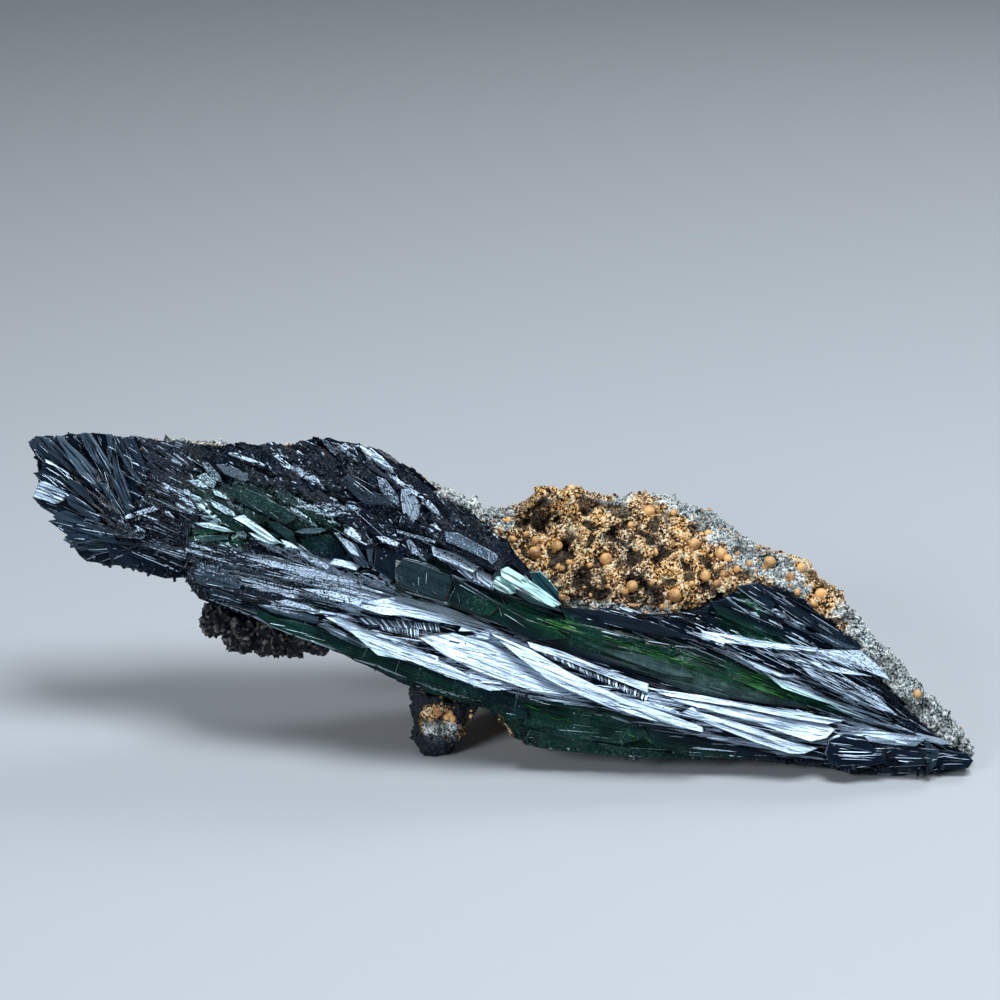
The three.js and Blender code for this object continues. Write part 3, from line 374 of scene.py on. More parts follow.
PLATES["tip_cluster"] = [
    (0, 0.05, 0, 0.4, [49.2, -23, 50.3, -25.3, 51.9, -25.8, 54.1, -25.2, 56.3, -24.9, 58.5, -24.4,
     56.8, -22.5, 55.2, -20.5, 52.2, -20.1, 49.7, -21.2]),
    (0, 0.1, 0, 0.6, [57.9, -22.9, 60.7, -24.4, 64.3, -24.9, 64.5, -23, 63.1, -21.7, 57.9, -20.5,
     54.8, -20.3]),
    (0.7, 0.8, 26, 1.1, [50.5, -21.9, 52.2, -20.7, 54.2, -21, 58, -21.6, 62.9, -22, 64.7, -20.8,
     59.2, -20, 55.2, -19.4, 52.2, -19.6, 49.6, -21.1]),
    (0, 0.3, 4, 0.6, [64.5, -23.3, 64.8, -26.3, 66.1, -24.9, 66.7, -22.7, 64.5, -21.1]),
    (0, 0.12, -4, 0.5, [60.7, -25.6, 62.8, -26.2, 64.9, -26.3, 63.4, -24.5, 58.5, -24.7]),
    (0, 0.06, 0, 0.5, [66.1, -25.7, 71.3, -25.5, 72.1, -24.4, 71, -23.3, 66.7, -22.7]),
]
PLATES["stout_prism"] = [
    (0, 0.25, 6, 0.35, [-15.8, 5, -15.5, 2.8, -11.7, 1.3, -8.4, 0.1, -7.2, 2.3, -7.6, 3.9, -11.7,
     5.7, -14.7, 6.4]),
    (0, 0.07, 2, 0.3, [-6.9, 2.1, -7.9, 0, -3.1, -1.9, -1.5, -2.1, 0, -0.6, -3.1, 1.5, -7.2, 3.7]),
    (0, 0.06, 0, 0.25, [-1.2, -2.3, 2, -4.6, 5.6, -5.9, 10.2, -5.6, 8.2, -4.1, 4.1, -2.7, 0.2,
     -0.7]),
    (0, 0.04, 0, 0.25, [10.2, -3.1, 14.3, -5.2, 22.4, -7.4, 26.5, -8.3, 27.5, -7.5, 22.4, -6.7,
     17.3, -4.7, 14.3, -2.1, 9.2, -0.8]),
    (0.05, 0.08, 0, 0.25, [14.3, -7.1, 19.4, -9.1, 25, -11.1, 29.6, -11.7, 27.5, -9.8, 22.4, -8.3,
     16.3, -7.2, 10.2, -5.2]),
    (0.05, 0.1, 0, 0.3, [27.5, -13.5, 34.7, -15, 34.7, -14.3, 27.5, -12.2, 22.4, -11.2]),
    (0.05, 0.15, 4, 0.5, [11.5, -2.8, 16.8, -3.8, 24.5, -5.4, 29.4, -5.7, 22.9, -3.2, 15.3, -1.5,
     9.2, -0.9]),
    (0.1, 0.1, 3, 0.35, [10.7, -4.1, 13.8, -5.4, 18.4, -6.3, 22.2, -6.1, 15.3, -4.1, 9.5, -2.9]),
]
PLATES["short_prism"] = [
    (0.45, 0.9, 16, 0.35, [-8.1, 9, -6.3, 8.3, -3.5, 7, -3.3, 8.6, -6.3, 10.3, -8.3, 10.5]),
    (0.6, 1, 20, 0.4, [-3.5, 7, -1.8, 6.2, -1.7, 7.8, -3.3, 8.6]),
    (0.7, 1, 22, 0.4, [-1.8, 6.2, -1.2, 5.6, -0.5, 6.2, -0.3, 7, -1.7, 7.8]),
    (0, 0.05, -6, -0.3, [-7.6, 7.8, -4.6, 6.2, -1.8, 5.1, -1.2, 5.6, -3.3, 7, -6.3, 8.2, -8.1, 9]),
]
PLATES["teal_blade"] = [
    (1, 0.9, 27, 0.6, [0.3, 3.7, 2.3, 2, 5.4, 0.3, 8.1, -0.9, 9.3, -0.5, 7.3, 1.2, 4.6, 3.1, 1.2,
     5.2, 0, 4.9]),
    (0.85, 0.8, 24, 0.6, [-0.3, 1.7, 1.4, 1, 2.4, 1.3, 2.3, 2.1, 0.4, 3.8, -0.5, 3.8, -1.4, 2.4]),
    (0.05, 0.2, 4, 0.35, [5.3, 2.5, 7.2, 0.7, 8.1, -0.8, 9.2, -0.4, 8.9, 1.1, 7.4, 3, 5.9, 4.5, 4.4,
     4.4]),
]

# Fine raised lines, by spray: width, painted highlight, and each such line as u, v, u, v and so on.
LINES = {}
LINES["main_spray"] = [
    (0.3, 1, [[-44.9, 0.4, -41.3, -1, -37.8, -2.4, -34.8, -3.8, -31.2, -5.3, -28.7, -6, -24.6,
      -7.6, -22.3, -8.8, -18.5, -9.8, -13.4, -12, -9.2, -13.8, -4.6, -15]]),
    (0.2, 0.7, [[14.3, -17.1, 16.8, -17.4, 19.9, -18.5]]),
    (0.18, 0.6, [[2.8, -13.3, 2.5, -14.8, 2.2, -16.8]]),
    (0.3, 0.9, [[-34.8, -0.6, -31.2, -0.8, -27.4, -1.7, -24.6, -2.2]]),
    (0.22, 0, [[3.4, -15.6, 4.7, -16, 6.1, -16.7], [6.1, -16.8, 7.6, -17.4, 9.2, -18.1],
      [8.6, -17.4, 9.8, -18, 11, -18.7], [4.6, -16.2, 5.5, -16.5, 6.4, -17],
      [18.4, -19.7, 19.4, -20.1, 20.5, -20.7], [20.8, -20.7, 21.9, -21.1, 22.9, -21.7],
      [7.3, -16.1, 8.1, -16.3, 8.9, -16.7]]),
]
LINES["stout_prism"] = [
    (0.1, 0.7, [[-14.7, 6.5, -11.7, 5.8, -7.5, 3.9, -3.1, 1.4, 0.5, -0.8], [-15.8, 5, -15.6, 2.7],
      [-7.2, 3.7, -7, 2.3, -8.2, 0.1]]),
    (0.12, 0.7, [[-6.1, 2.5, -3.1, 0.8, 0.6, -1.9, 4.1, -4.1]]),
    (0.1, 0.7, [[0.6, 2.5, 0.3, 0.5, 1, -2]]),
    (0.08, 0.6, [[-13.8, 5.4, -14, 3.4, -14.7, 1.5], [-11, 4.3, -11.1, 2.4, -11.6, 0.6],
      [-9.8, 3.5, -9.2, 1.8, -9, 0], [-8.3, 2.3, -8.3, 0.9, -8.7, -0.5],
      [-12.7, 5, -12.2, 3.7, -12.2, 2.3]]),
    (0.2, 0.7, [[15.3, -4.6, 18.9, -5.5, 22.4, -6.2, 26.5, -6.9, 30.6, -7.4]]),
    (0.07, 0.6, [[-15, 3.8, -14.5, 2.4], [-13.2, 2.8, -12.4, 1.2], [-11.6, 4.9, -11.3, 3.7],
      [-10.3, 1.5, -9.3, 0.9], [-7.3, 3.1, -7.8, 1.7], [-6.4, 1.2, -6.1, -0.3],
      [-5.5, 1.8, -4.9, 0.6], [-4.6, 0.6, -4.9, -0.6], [-2.8, 0, -2.3, -1.1],
      [-0.2, -0.9, 0.2, -2.3]]),
    (0.12, 0, [[5.4, -2.6, 6.7, -3.1, 8.1, -3.7], [7.3, -3.8, 9, -4.4, 10.7, -5],
      [9.2, -3.4, 10.4, -3.8, 11.6, -4.3], [15.3, -5.2, 17.3, -5.8, 19.3, -6.6],
      [17.7, -6.9, 20, -7.4, 22.3, -8.1], [22.9, -6.3, 24.8, -6.7, 26.6, -7.3],
      [25.7, -7.5, 28, -8.1, 30.3, -8.9], [30.6, -9.2, 32.6, -9.7, 34.6, -10.4],
      [37.3, -12.9, 39, -13.6, 40.7, -14.4], [41, -13.9, 42.5, -14.6, 44.1, -15.3]]),
    (0.18, 0, [[36.4, -10.9, 38.2, -11.5, 40.1, -12.2], [37.9, -12.1, 39.9, -12.8, 41.9, -13.6],
      [40.1, -11.6, 41.6, -12.4, 43.1, -13.3], [42.2, -13.6, 43.6, -14.2, 45, -15],
      [39.2, -11.2, 40.2, -11.5, 41.3, -12.1], [21.4, -7.3, 23.7, -7.9, 26, -8.7],
      [15.3, -5.7, 17.6, -6.2, 19.9, -6.9], [25.7, -8.7, 27.7, -9.3, 29.7, -10.1]]),
]
LINES["teal_blade"] = [
    (0.3, 1, [[1.1, 4.9, 3.1, 3.4, 5.3, 1.9, 7.4, 0.4]]),
    (0.2, 0.9, [[5.9, 4.5, 7.4, 3, 8.9, 1.1]]),
]
LINES["right_wedge"] = [
    (0.25, 0, [[37.2, 0.3, 38.4, -0.6], [37.6, -0.5, 39, -1.5], [38.2, 0, 39.8, -1.2]]),
]

# Rows of short blades across the grain, by spray: count, painted highlight, upper line and lower
# line.
COMBS = {}
COMBS["main_spray"] = [
    (28, 1, [-21.6, -2.6, -9.4, -3.5], [-20.3, -3.6, -9.2, -4.8]),
    (22, 1, [-18.8, -2.9, -12.4, -3.5], [-17.8, -4.5, -12.4, -5.7]),
    (30, 0.9, [5.6, -6.9, 22.2, -14.1], [6.4, -8.1, 21.9, -15.2]),
]

# Zones of the face, as a strength and an outline. Where cleavage catches the light: blades there
# tilt to mirror the lamp, and bear a painted highlight:
HIGHLIGHT_ZONES = [
    (0.5, [-47.7, 8.4, -38.2, 9.2, -30.6, 8, -24.5, 5.8, -15.3, 1.2, -11.5, -1.8, -21.4, -1.8, -26,
     -1.2, -30.6, -2.4, -36.4, -0.9, -43.6, 2.3, -46.7, 4.3]),
    (0.95, [-26.8, 4.9, -21.4, 4.3, -15.3, 2.8, -9.2, 0, -4.6, -1.8, -10.7, -3.4, -18.4, -1.5, -26,
     0.5]),
    (0.8, [-23.7, 0, -9.2, 0, 0, -3.1, 9.2, -7.3, 21.4, -12.5, 22.9, -15.3, 15.3, -15.3, 6.1, -15,
     -4.6, -12.9, -15.3, -8.4, -22.9, -5.5, -29.1, -3.4, -26, -1.8]),
    (1, [21.4, -12.9, 30.6, -14.1, 41.3, -16.2, 52, -17.7, 61.2, -20.7, 65.8, -21.7, 58.1, -21.7,
     50.5, -20.8, 48.2, -23.3, 43.6, -23.4, 30.6, -20.3, 21.4, -17.3]),
    (0.6, [15, -2.4, 22.9, -3.7, 30.6, -4.9, 39.8, -6.1, 55.1, -7.6, 59.7, -11.5, 60.4, -13.8, 55.1,
     -11, 45.9, -8.4, 36.7, -7.3, 29.1, -6.9, 21.4, -5.5, 16.1, -4.3]),
    (0.55, [30.6, -6.1, 39.8, -8.4, 45.9, -11, 55.1, -16.1, 64.3, -20.7, 61.2, -20.7, 52, -17.1,
     42.8, -13.8, 33.7, -9.9, 29.1, -7.6]),
    (0.25, [34.4, 0.3, 37.5, 0.8, 45.9, -2.3, 55.1, -6.9, 58.9, -9.2, 53.5, -8.4, 44.4, -6.1, 36.7,
     -3.8]),
    (0.3, [50.2, -21.1, 53.5, -20.7, 61.2, -21.1, 68.8, -23.3, 70.7, -25.2, 61.2, -24.5, 53.5,
     -22.9]),
    (0.4, [-47.4, 22.2, -41.3, 21.4, -30.6, 15.3, -23.7, 8.4, -27.5, 6.9, -33.7, 8, -41.3, 8.4,
     -48.2, 9.2, -49, 15.3]),
    (0.2, [-61.7, 11.8, -57.4, 11.5, -53.9, 10.7, -55.1, 15.3, -53.5, 18.4, -47.4, 15.3, -45.9, 8.4,
     -43.6, 4.6, -47.4, 6.1, -54.3, 7.6, -56.6, 8.4]),
    (0.35, [-32.9, 24.5, -29.1, 24.9, -23.7, 24, -18.4, 22.2, -13.8, 18.4, -11.5, 15.3, -13, 15.3,
     -16.1, 18.4, -19.9, 21.1, -25.2, 22.6, -32.1, 23.4]),
    (0.35, [-15.3, 12.2, -9.2, 10.7, -3.1, 7.6, 0, 4.6, 3.1, 1.5, -1.5, 1.5, -9.2, 6.1, -15.3,
     8.4]),
    (0.16, [-53.5, 24.5, -27.5, 24.5, -15.3, 18.4, -3.1, 9.2, -12.2, 9.2, -22.9, 9.2, -45.9, 19.9,
     -53.5, 21.4]),
]
# Where it is sugary, with fine painted glints:
FROST_ZONES = [
    (1, [-47.7, 8.4, -38.2, 9.2, -30.6, 8, -24.5, 5.8, -18.4, 2.3, -18.4, -0.6, -26, -1.2, -30.6,
     -2.4, -36.4, -0.9, -43.6, 2.3, -46.7, 4.3]),
    (1, [-61.7, 11.8, -57.4, 11.5, -53.9, 10.7, -55.4, 15.3, -54.8, 26, -45.9, 24.5, -45.9, 8.4,
     -43.6, 4.6, -47.4, 6.1, -54.3, 7.6, -56.6, 8.4]),
    (0.8, [-53.5, 25.1, -27.5, 24.5, -15.3, 19.9, 0, 9.2, 3.1, 3.1, -9.2, 6.1, -18.4, 8.4, -24.5,
     9.2, -32.1, 9.9, -45.9, 15.3, -53.5, 18.4]),
    (0.8, [50.5, -6.1, 56.6, -7.6, 66.6, -22.2, 61.2, -20.7, 56.6, -15.3, 52, -12.2]),
    (0.45, [-4.6, -13.8, 3.1, -17.1, 15.3, -20.2, 30.6, -22.2, 41.3, -23.7, 30.6, -24.8, 15.3, -24,
     2.3, -22.5]),
    (0.3, [-36.4, -1.8, -27.5, -4.9, -15.3, -9.5, -4.6, -13.8, -9.2, -14.4, -18.4, -10.4, -29.1,
     -6.1]),
]
# Where light comes green through it, with a painted glow where strongest:
GREEN_ZONES = [
    (0.74, [-4.6, 0, 4.6, -0.8, 9.2, -3.1, 18.4, -5.4, 30.6, -8.4, 39.8, -12.2, 50.5, -15.3, 53.5,
     -17.1, 39.8, -15.3, 29.1, -13.8, 21.4, -10.7, 12.2, -6.9, 3.1, -3.8, -3.1, -1.8]),
    (1, [35.6, -10.1, 39.8, -10.9, 43.8, -13.5, 46.2, -15.6, 42.5, -15, 37.8, -13.2]),
    (0.93, [14.7, -4.7, 21.4, -6.1, 29.1, -8.1, 34, -10.1, 30.6, -10.4, 22.9, -8.6, 16.8, -6.9]),
    (0.95, [4.3, -1.7, 11.5, -2.9, 14.1, -4.9, 9.2, -5.2, 6.1, -3.7]),
    (0.45, [-36.7, -0.9, -27.5, -4.3, -15.3, -8.9, -4.6, -13.2, 6.1, -15.3, 15.3, -16.2, 21.4, -19,
     30.6, -22.6, 39.8, -24.8, 36.7, -25.7, 21.4, -24.2, 9.2, -23.3, 2.3, -21.7, 0, -17.1, -9.2,
     -14.7, -18.4, -10.4, -29.1, -6.1, -36.4, -3.1]),
    (1, [3.1, -15.1, 6.9, -16.1, 11.8, -18.7, 9.5, -19.3, 4.9, -17.6]),
    (0.95, [17.9, -19.4, 22.9, -20.8, 24.8, -22.2, 20.2, -21.6]),
    (0.22, [-16.2, 6.7, -9.2, 6.1, -4.6, 1.8, 3.1, -1.2, 0.8, -4, -9.2, -1.8, -15.9, 1.2]),
    (0.33, [-46.7, 19.9, -39.8, 18.7, -30.6, 16.1, -22.9, 10.7, -26, 8, -33.7, 8.4, -42.8, 10.7,
     -46.7, 14.5]),
    (1, [37, 0.8, 40.2, -1.2, 39.2, -2.3, 37.2, -0.5]),
    (0.6, [32.9, -0.8, 44.4, -6.1, 39.8, -6.9, 33.7, -3.8]),
    (0.75, [-47.7, 11.2, -39.8, 10.7, -39.5, 8.4, -47.4, 9.2]),
]
# Where it is cloudy:
MIST_ZONES = [
    (1, [14.7, -6.1, 21.4, -8, 29.1, -11, 36.7, -13.5, 45.9, -16.2, 50.5, -17.4, 42.8, -16.8, 35.2,
     -15.6, 29.1, -14.4, 21.4, -11, 15.3, -8.3]),
]

# Ragged and sugary parts, by spray: count of knobs, their size, how far they spread from a line,
# how much painted highlight they bear, and the line as u, v, u, v and so on.
RAGGED = {}
RAGGED["main_spray"] = [
    (230, 0.2, 2.2, 1, [-11.5, -9.9, -3.1, -14.1, 3.1, -17.6, 15.3, -20.2, 30.6, -22.6]),
    (260, 0.5, 0.3, 0.5, [2.3, -20.8, 6.9, -22.3, 15.3, -22.9, 21.4, -23.7, 30.6, -23.7, 39.8,
     -24.6, 50.2, -24.8]),
    (140, 0.45, 0.35, 0.2, [-45.9, 1.5, -38.2, -2.9, -26, -8, -15.3, -12.4, -7.6, -14.2, 0.8,
     -16.7]),
    (500, 0.28, 1.4, 1, [-47.4, 6.9, -39.8, 4.6, -30.6, 2.3, -21.4, 0]),
    (160, 0.35, 0.7, 0.8, [-47.1, 6.7, -47.4, 4.6, -47.1, 3.1, -45.9, 1.5]),
]
RAGGED["left_fan"] = [
    (160, 0.5, 0.35, 0.3, [-66.7, 8.7, -62.7, 5.7, -57.4, 5, -53.5, 4.4, -47.7, 3.5]),
    (420, 0.3, 1.7, 0.7, [-62.7, 12.2, -58.1, 10.7, -53.5, 8.4, -47.4, 6.1, -43.6, 4.6]),
    (160, 0.3, 1.2, 1, [-54.6, 19.9, -54.2, 15.3, -55.1, 10.7]),
    (220, 0.35, 0.9, 0.7, [-48.3, 13.5, -48, 10.7, -48.3, 8, -47.9, 5.8, -48, 3.8]),
]
RAGGED["tip_cluster"] = [
    (90, 0.5, 0.3, 0.2, [49.9, -24.9, 55.1, -25.6, 61.2, -25.9, 67.3, -25.6]),
]
RAGGED["upper_ridge"] = [
    (1100, 0.28, 4, 0.8, [-51.3, 22.2, -36.7, 21.7, -26, 18.4, -12.2, 12.2, -4.6, 6.9]),
]


ZONE_FADE = 0.8  # mm over which a zone fades
ZONE_RIM = 0.6  # share of a zone's strength on its outline


def pairs(numbers):
    """A list of u, v, u, v as rows of (u, v)."""
    return np.array(numbers, float).reshape(-1, 2)


def depth_in(points, outline):
    """How far each point lies inside an outline, in mm, and below 0 outside it."""
    start = outline[None]
    step = np.roll(outline, -1, axis=0)[None] - start
    to_point = points[:, None, :2] - start
    share = (to_point * step).sum(2) / np.maximum((step**2).sum(2), TINY)
    gap = to_point - step * np.clip(share, 0, 1)[..., None]
    far = np.sqrt((gap**2).sum(2).min(1))
    above = to_point[..., 1] >= 0
    crosses = above != (to_point[..., 1] >= step[..., 1])
    side = to_point[..., 0] * step[..., 1] - to_point[..., 1] * step[..., 0]
    hits = (crosses & ((side < 0) == (step[..., 1] > 0))).sum(1)
    return np.where(hits % 2 == 1, far, -far)


def zoned(points, zones):
    """The strongest zone at each point, from 0 to 1, fading over about a millimetre."""
    found = np.zeros(len(points))
    for strength, numbers in zones:
        fade = np.clip(depth_in(points, pairs(numbers)) / ZONE_FADE + ZONE_RIM, 0, 1)
        found = np.maximum(found, strength * fade)
    return found


# Patches of the face: centre (u, v), half length, half width, angle in degrees and strength.
# How far they reach behind the front of the face, at two places u and evenly between them:
PATCH_DEPTH = ((40.0, 55.0), (18.0, 9.0))
PATCH_FADE = 4  # mm over which they fade there
# Where a pale crust covers the rock:
PALE_PATCHES = [
    (-1, 13.5, 5, 3.4, -20, 0.8),
    (30, 14.4, 10, 2.8, -30, 0.95),
    (40, 6, 10, 4, -35, 0.72),
    (62.5, -12.5, 16, 4.6, -48, 0.95),
    (-48, 25, 7, 2, 0, 0.85),
    (17, 15.5, 4, 2, -10, 0.6),
    (-8.5, 17, 5, 2.2, -28, 0.85),
    (20, -1.6, 10, 1.2, -5, 0.75),
    (-9.4, -20, 3.2, 1.7, 0, 0.95),
    (71, -22, 4.5, 3, -40, 0.95),
    (-9.2, -22.6, 3.4, 1.4, 0, 0.9),
]
# Where the rock is nearly black: dark stains, and painted shade round the foot:
DARK_PATCHES = [
    (30.5, 14, 9, 2, -29, 0.4),
    (-9.4, -21.4, 3.6, 0.9, 0, 0.5),
    (-9.5, -23.4, 3.6, 1.5, 0, 0.95),
    (-10, -15.2, 5, 1.2, 0, 0.85),
    (-13.4, -18.5, 6.5, 1.5, 90, 0.95),
    (-4, -17.5, 4, 3, -20, 0.95),
    (7, 14.5, 7, 3, -10, 0.45),
    (17, 9, 5, 3, -30, 0.4),
    (70, -25, 5, 1.8, -25, 0.9),
]
# Where balls and grains crowd on the rock:
GRAIN_PATCHES = [
    (33, 6, 7, 5, -35, 1),
    (40, 4, 10, 3, -30, 0.6),
    (6, 8, 7, 4, -30, 0.7),
    (27, -1, 12, 3, -10, 0.7),
    (-8, -16, 4, 3, 0, 0.9),
]
# Hollows in the rock: centre (u, v), radius and depth.
HOLLOWS = [
    (6.1, 12.1, 2.2, 2.6), (17.3, 14.4, 0.9, 1.4), (17.7, 9.8, 1.2, 1.8), (10.9, 6.7, 0.9, 1.3),
    (22.3, 2.1, 0.9, 1.2), (15.8, 0.2, 0.9, 1.2), (29.9, 10.7, 0.8, 1.2), (31.7, 2.1, 1, 1.4),
    (19.7, 11.5, 0.8, 1.2), (29.2, 4.9, 0.9, 1.2), (24, 11.4, 1.3, 0.9), (3, 11.4, 1, 1.4),
    (36.7, 7.4, 0.9, 1.3), (12.2, 3, 1, 1.1), (48.6, 3.4, 0.9, 1.3), (20.3, 6.6, 0.8, 0.9),
]
# Small balls on the rock: centre (u, v) and radius.
BALLS = [
    (5.5, 9.1, 0.6), (8.6, 8.1, 0.65), (2, 9.2, 0.55), (32.4, 10.1, 0.6), (35.3, 6.2, 0.7),
    (31.7, 3.8, 0.75), (33.5, 2.4, 0.65), (34.6, 3.9, 0.6), (19.3, 1.1, 0.55), (20.5, 11.4, 0.6),
    (36.7, 4.6, 0.6), (29.5, 2.4, 0.5), (27.2, 13.4, 0.55), (41.2, 4.9, 0.6), (44.8, 3.4, 0.65),
    (38.6, 5.5, 0.5), (9.6, 4.7, 0.5), (13.9, 5.2, 0.45), (25.1, -1.2, 0.5), (63.8, -14.4, 0.7),
    (-9.5, -17.1, 0.8), (-8.2, -18, 0.55), (-7.2, -18.2, 0.5), (-10.6, -18.4, 0.5),
]


def covered(points, patches):
    """How far each point of the face frame lies in the patches, from 0 to 1."""
    bare = np.ones(len(points))
    for u, v, half_length, half_width, degrees, strength in patches:
        turn = math.radians(degrees)
        du, dv = points[:, 0] - u, points[:, 1] - v
        along = (du * math.cos(turn) + dv * math.sin(turn)) / half_length
        across = (dv * math.cos(turn) - du * math.sin(turn)) / half_width
        bare *= 1 - strength * np.exp(-(along**4) - across**2)
    return 1 - bare


# ---------- the settings


def colour(name, description, value):
    """A setting that holds a colour."""
    return bpy.props.FloatVectorProperty(
        name=name, description=description, subtype="COLOR", size=3, min=0, max=1, default=value,
    )


class CrystalSettings(bpy.types.PropertyGroup):
    """Looks of the vivianite."""

    dark: colour("Dark crystal", "Colour of the thick crystal", (0.0005, 0.0025, 0.006))
    navy: colour(
        "Navy crystal", "Colour of the thick crystal where it is bluest", (0.001, 0.006, 0.018),
    )
    # Painted sheen: the dull grey reflection laid on cleavage faces out of the lamp's light.
    painted_sheen: colour(
        "Slate cleavage", "Colour of the cleavage faces out of the light", (0.087, 0.138, 0.192),
    )
    green: colour(
        "Green crystal", "Colour of the crystal where light comes through", (0.006, 0.072, 0.03),
    )
    # Painted glow of light coming through the brightest green streaks.
    green_glow: colour(
        "Glowing green", "Colour of the brightest streaks in the green", (0.09, 0.36, 0.07),
    )
    mist: colour("Hazy crystal", "Colour of the cloudy crystal", (0.15, 0.25, 0.25))
    # Painted highlight: the colour laid on cleavage faces that catch the lamp's light.
    painted_highlight: colour(
        "Cleavage", "Colour of the cleavage faces that catch the light", (0.5, 0.62, 0.76),
    )
    # Painted highlight where the crystal is green.
    lit_green: colour(
        "Green cleavage", "Colour of such faces where the crystal is green", (0.45, 0.74, 0.66),
    )
    teal: colour("Teal crystal", "Colour of the palest blade's depths", (0.008, 0.065, 0.075))
    # Painted highlight on the palest blade's faces.
    teal_highlight: colour("Teal cleavage", "Colour of the palest blade's faces", (0.5, 0.82, 0.82))
    crust: colour("Worn crust", "Colour of the dark crust where it is worn", (0.007, 0.008, 0.009))
    # Painted highlight along the dark crust's sharp rims.
    crust_rim_highlight: colour("Crust rims", "Colour of the dark crust's sharp rims", (0.2, 0.19, 0.175))
    density: bpy.props.FloatProperty(
        name="Blade density", description="Share of the fine blades to grow",
        default=1, min=0.05, max=1.5,
    )


class RockSettings(bpy.types.PropertyGroup):
    """Looks of the ironstone."""

    ochre: colour("Ochre", "Main colour of the ironstone", (0.95, 0.47, 0.12))
    # The browner ironstone's own colour.
    rust_and_shade: colour("Rust", "Colour of the browner ironstone", (0.34, 0.15, 0.055))
    # Painted shade in the pits, the hollows and the lows of the grit.
    painted_shade: colour("Umber", "Colour of the pits", (0.012, 0.007, 0.005))
    # Pale grit, painted brightest on the grit's tops as a highlight; on the ooids, their dust.
    tan: colour("Tan", "Colour of the palest grit", (1.0, 0.88, 0.62))
    moss: colour("Grey-green crust", "Colour of the crust", (0.32, 0.38, 0.39))
    chalk: colour("Pale crust", "Colour of the crust's grit", (0.97, 0.98, 0.93))
    # Dark ground between the crust's grit, painted darkest in its lows as shade; also the dark
    # patches' colour.
    dark: colour("Dark crust", "Colour between the crust's grit", (0.016, 0.024, 0.034))
    ooid: colour("Ooid", "Colour of the round grains", (0.9, 0.5, 0.18))
    voxel: bpy.props.FloatProperty(
        name="Carving step", description="Size of the rock's smallest facet",
        default=0.42 * MM, min=0.2 * MM, max=3 * MM, unit="LENGTH", precision=5,
    )


class StageSettings(bpy.types.PropertyGroup):
    """The table, the light and the camera."""

    table: colour("Table", "Colour of the table", (0.5, 0.52, 0.55))
    room: colour("Room", "Colour of the light from all round", (0.62, 0.68, 0.78))
    glow: bpy.props.FloatProperty(
        name="Room light", description="Strength of the light from all round",
        default=0.13, min=0, max=10,
    )
    lens: bpy.props.FloatProperty(
        name="Lens", description="Focal length of the camera",
        default=100, min=20, max=300, unit="CAMERA",
    )


# ---------- finishes
# A noise's scale is in features a metre on the place, and in features a millimetre on the grain.

GLASS_IOR = 1.6
GREEN_CLEARNESS = 0.25  # transmission of the green crystal


class Field:
    """A number in a shader, with operators that add the nodes for them."""

    def __init__(self, finish, socket):
        self.finish = finish
        self.socket = socket

    def _math(self, operation, first, second):
        return self.finish.add("ShaderNodeMath", {"operation": operation}, {0: first, 1: second})

    def __add__(self, other):
        return self._math("ADD", self, other)

    def __sub__(self, other):
        return self._math("SUBTRACT", self, other)

    def __rsub__(self, other):
        return self._math("SUBTRACT", other, self)

    def __mul__(self, other):
        return self._math("MULTIPLY", self, other)

    def __pow__(self, other):
        return self._math("POWER", self, other)

    __radd__ = __add__
    __rmul__ = __mul__

    def between(self, low, high):
        """0 up to low, 1 from high, and a straight rise from one to the other."""
        sockets = {"Value": self, "From Min": low, "From Max": high}
        return self.finish.add("ShaderNodeMapRange", {"clamp": True}, sockets)


class Finish:
    """A material with one glossy surface."""

    def __init__(self, name):
        self.material = bpy.data.materials.new(name)
        self.material.use_nodes = True
        self.tree = self.material.node_tree
        self.tree.nodes.clear()
        self.output = self.tree.nodes.new("ShaderNodeOutputMaterial")

    def add(self, kind, settings=None, sockets=None, output=0):
        """A node with its settings, then its sockets' values or links. Returns one output."""
        node = self.tree.nodes.new(kind)
        for key, value in (settings or {}).items():
            setattr(node, key, value)
        self.join(node, sockets or {})
        return Field(self, node.outputs[output])

    def join(self, node, sockets):
        for key, value in sockets.items():
            socket = node.inputs[key]
            if isinstance(value, Field):
                self.tree.links.new(value.socket, socket)
            elif socket.type == "RGBA":
                socket.default_value = (*value, 1.0)
            else:
                socket.default_value = value

    def place(self):
        return self.add("ShaderNodeTexCoord", output="Object")

    def grain(self):
        """The piece's own map: x along the blades and y across them, in millimetres."""
        return self.add("ShaderNodeUVMap", {"uv_map": "grain"})

    def streaks(self, grain, along, across, detail, rough=0.6):
        """Noise with this many features a millimetre along the blades and across them."""
        return self.noise(self.scaled(grain, (along, across, 1.0)), 1.0, detail, rough)

    def share(self, name):
        return self.add("ShaderNodeAttribute", {"attribute_name": name}, output="Fac")

    def scaled(self, vector, factors):
        settings = {"operation": "MULTIPLY"}
        return self.add("ShaderNodeVectorMath", settings, {0: vector, 1: factors})

    def noise(self, vector, scale, detail=3.0, rough=0.55):
        sockets = {"Vector": vector, "Scale": scale, "Detail": detail, "Roughness": rough}
        return self.add("ShaderNodeTexNoise", None, sockets)

    def mix(self, factor, first, second):
        sockets = {0: factor, 6: first, 7: second}
        return self.add("ShaderNodeMix", {"data_type": "RGBA"}, sockets, output=2)

    def bump(self, height, distance, strength=1.0):
        sockets = {"Height": height, "Distance": distance, "Strength": strength}
        return self.add("ShaderNodeBump", None, sockets)

    def surface(self, **values):
        """The one surface, from values for the Principled sockets, with _ for a space."""
        sockets = {key.replace("_", " "): value for key, value in values.items()}
        shader = self.add("ShaderNodeBsdfPrincipled", None, sockets)
        self.tree.links.new(shader.socket, self.output.inputs["Surface"])
        return self.material


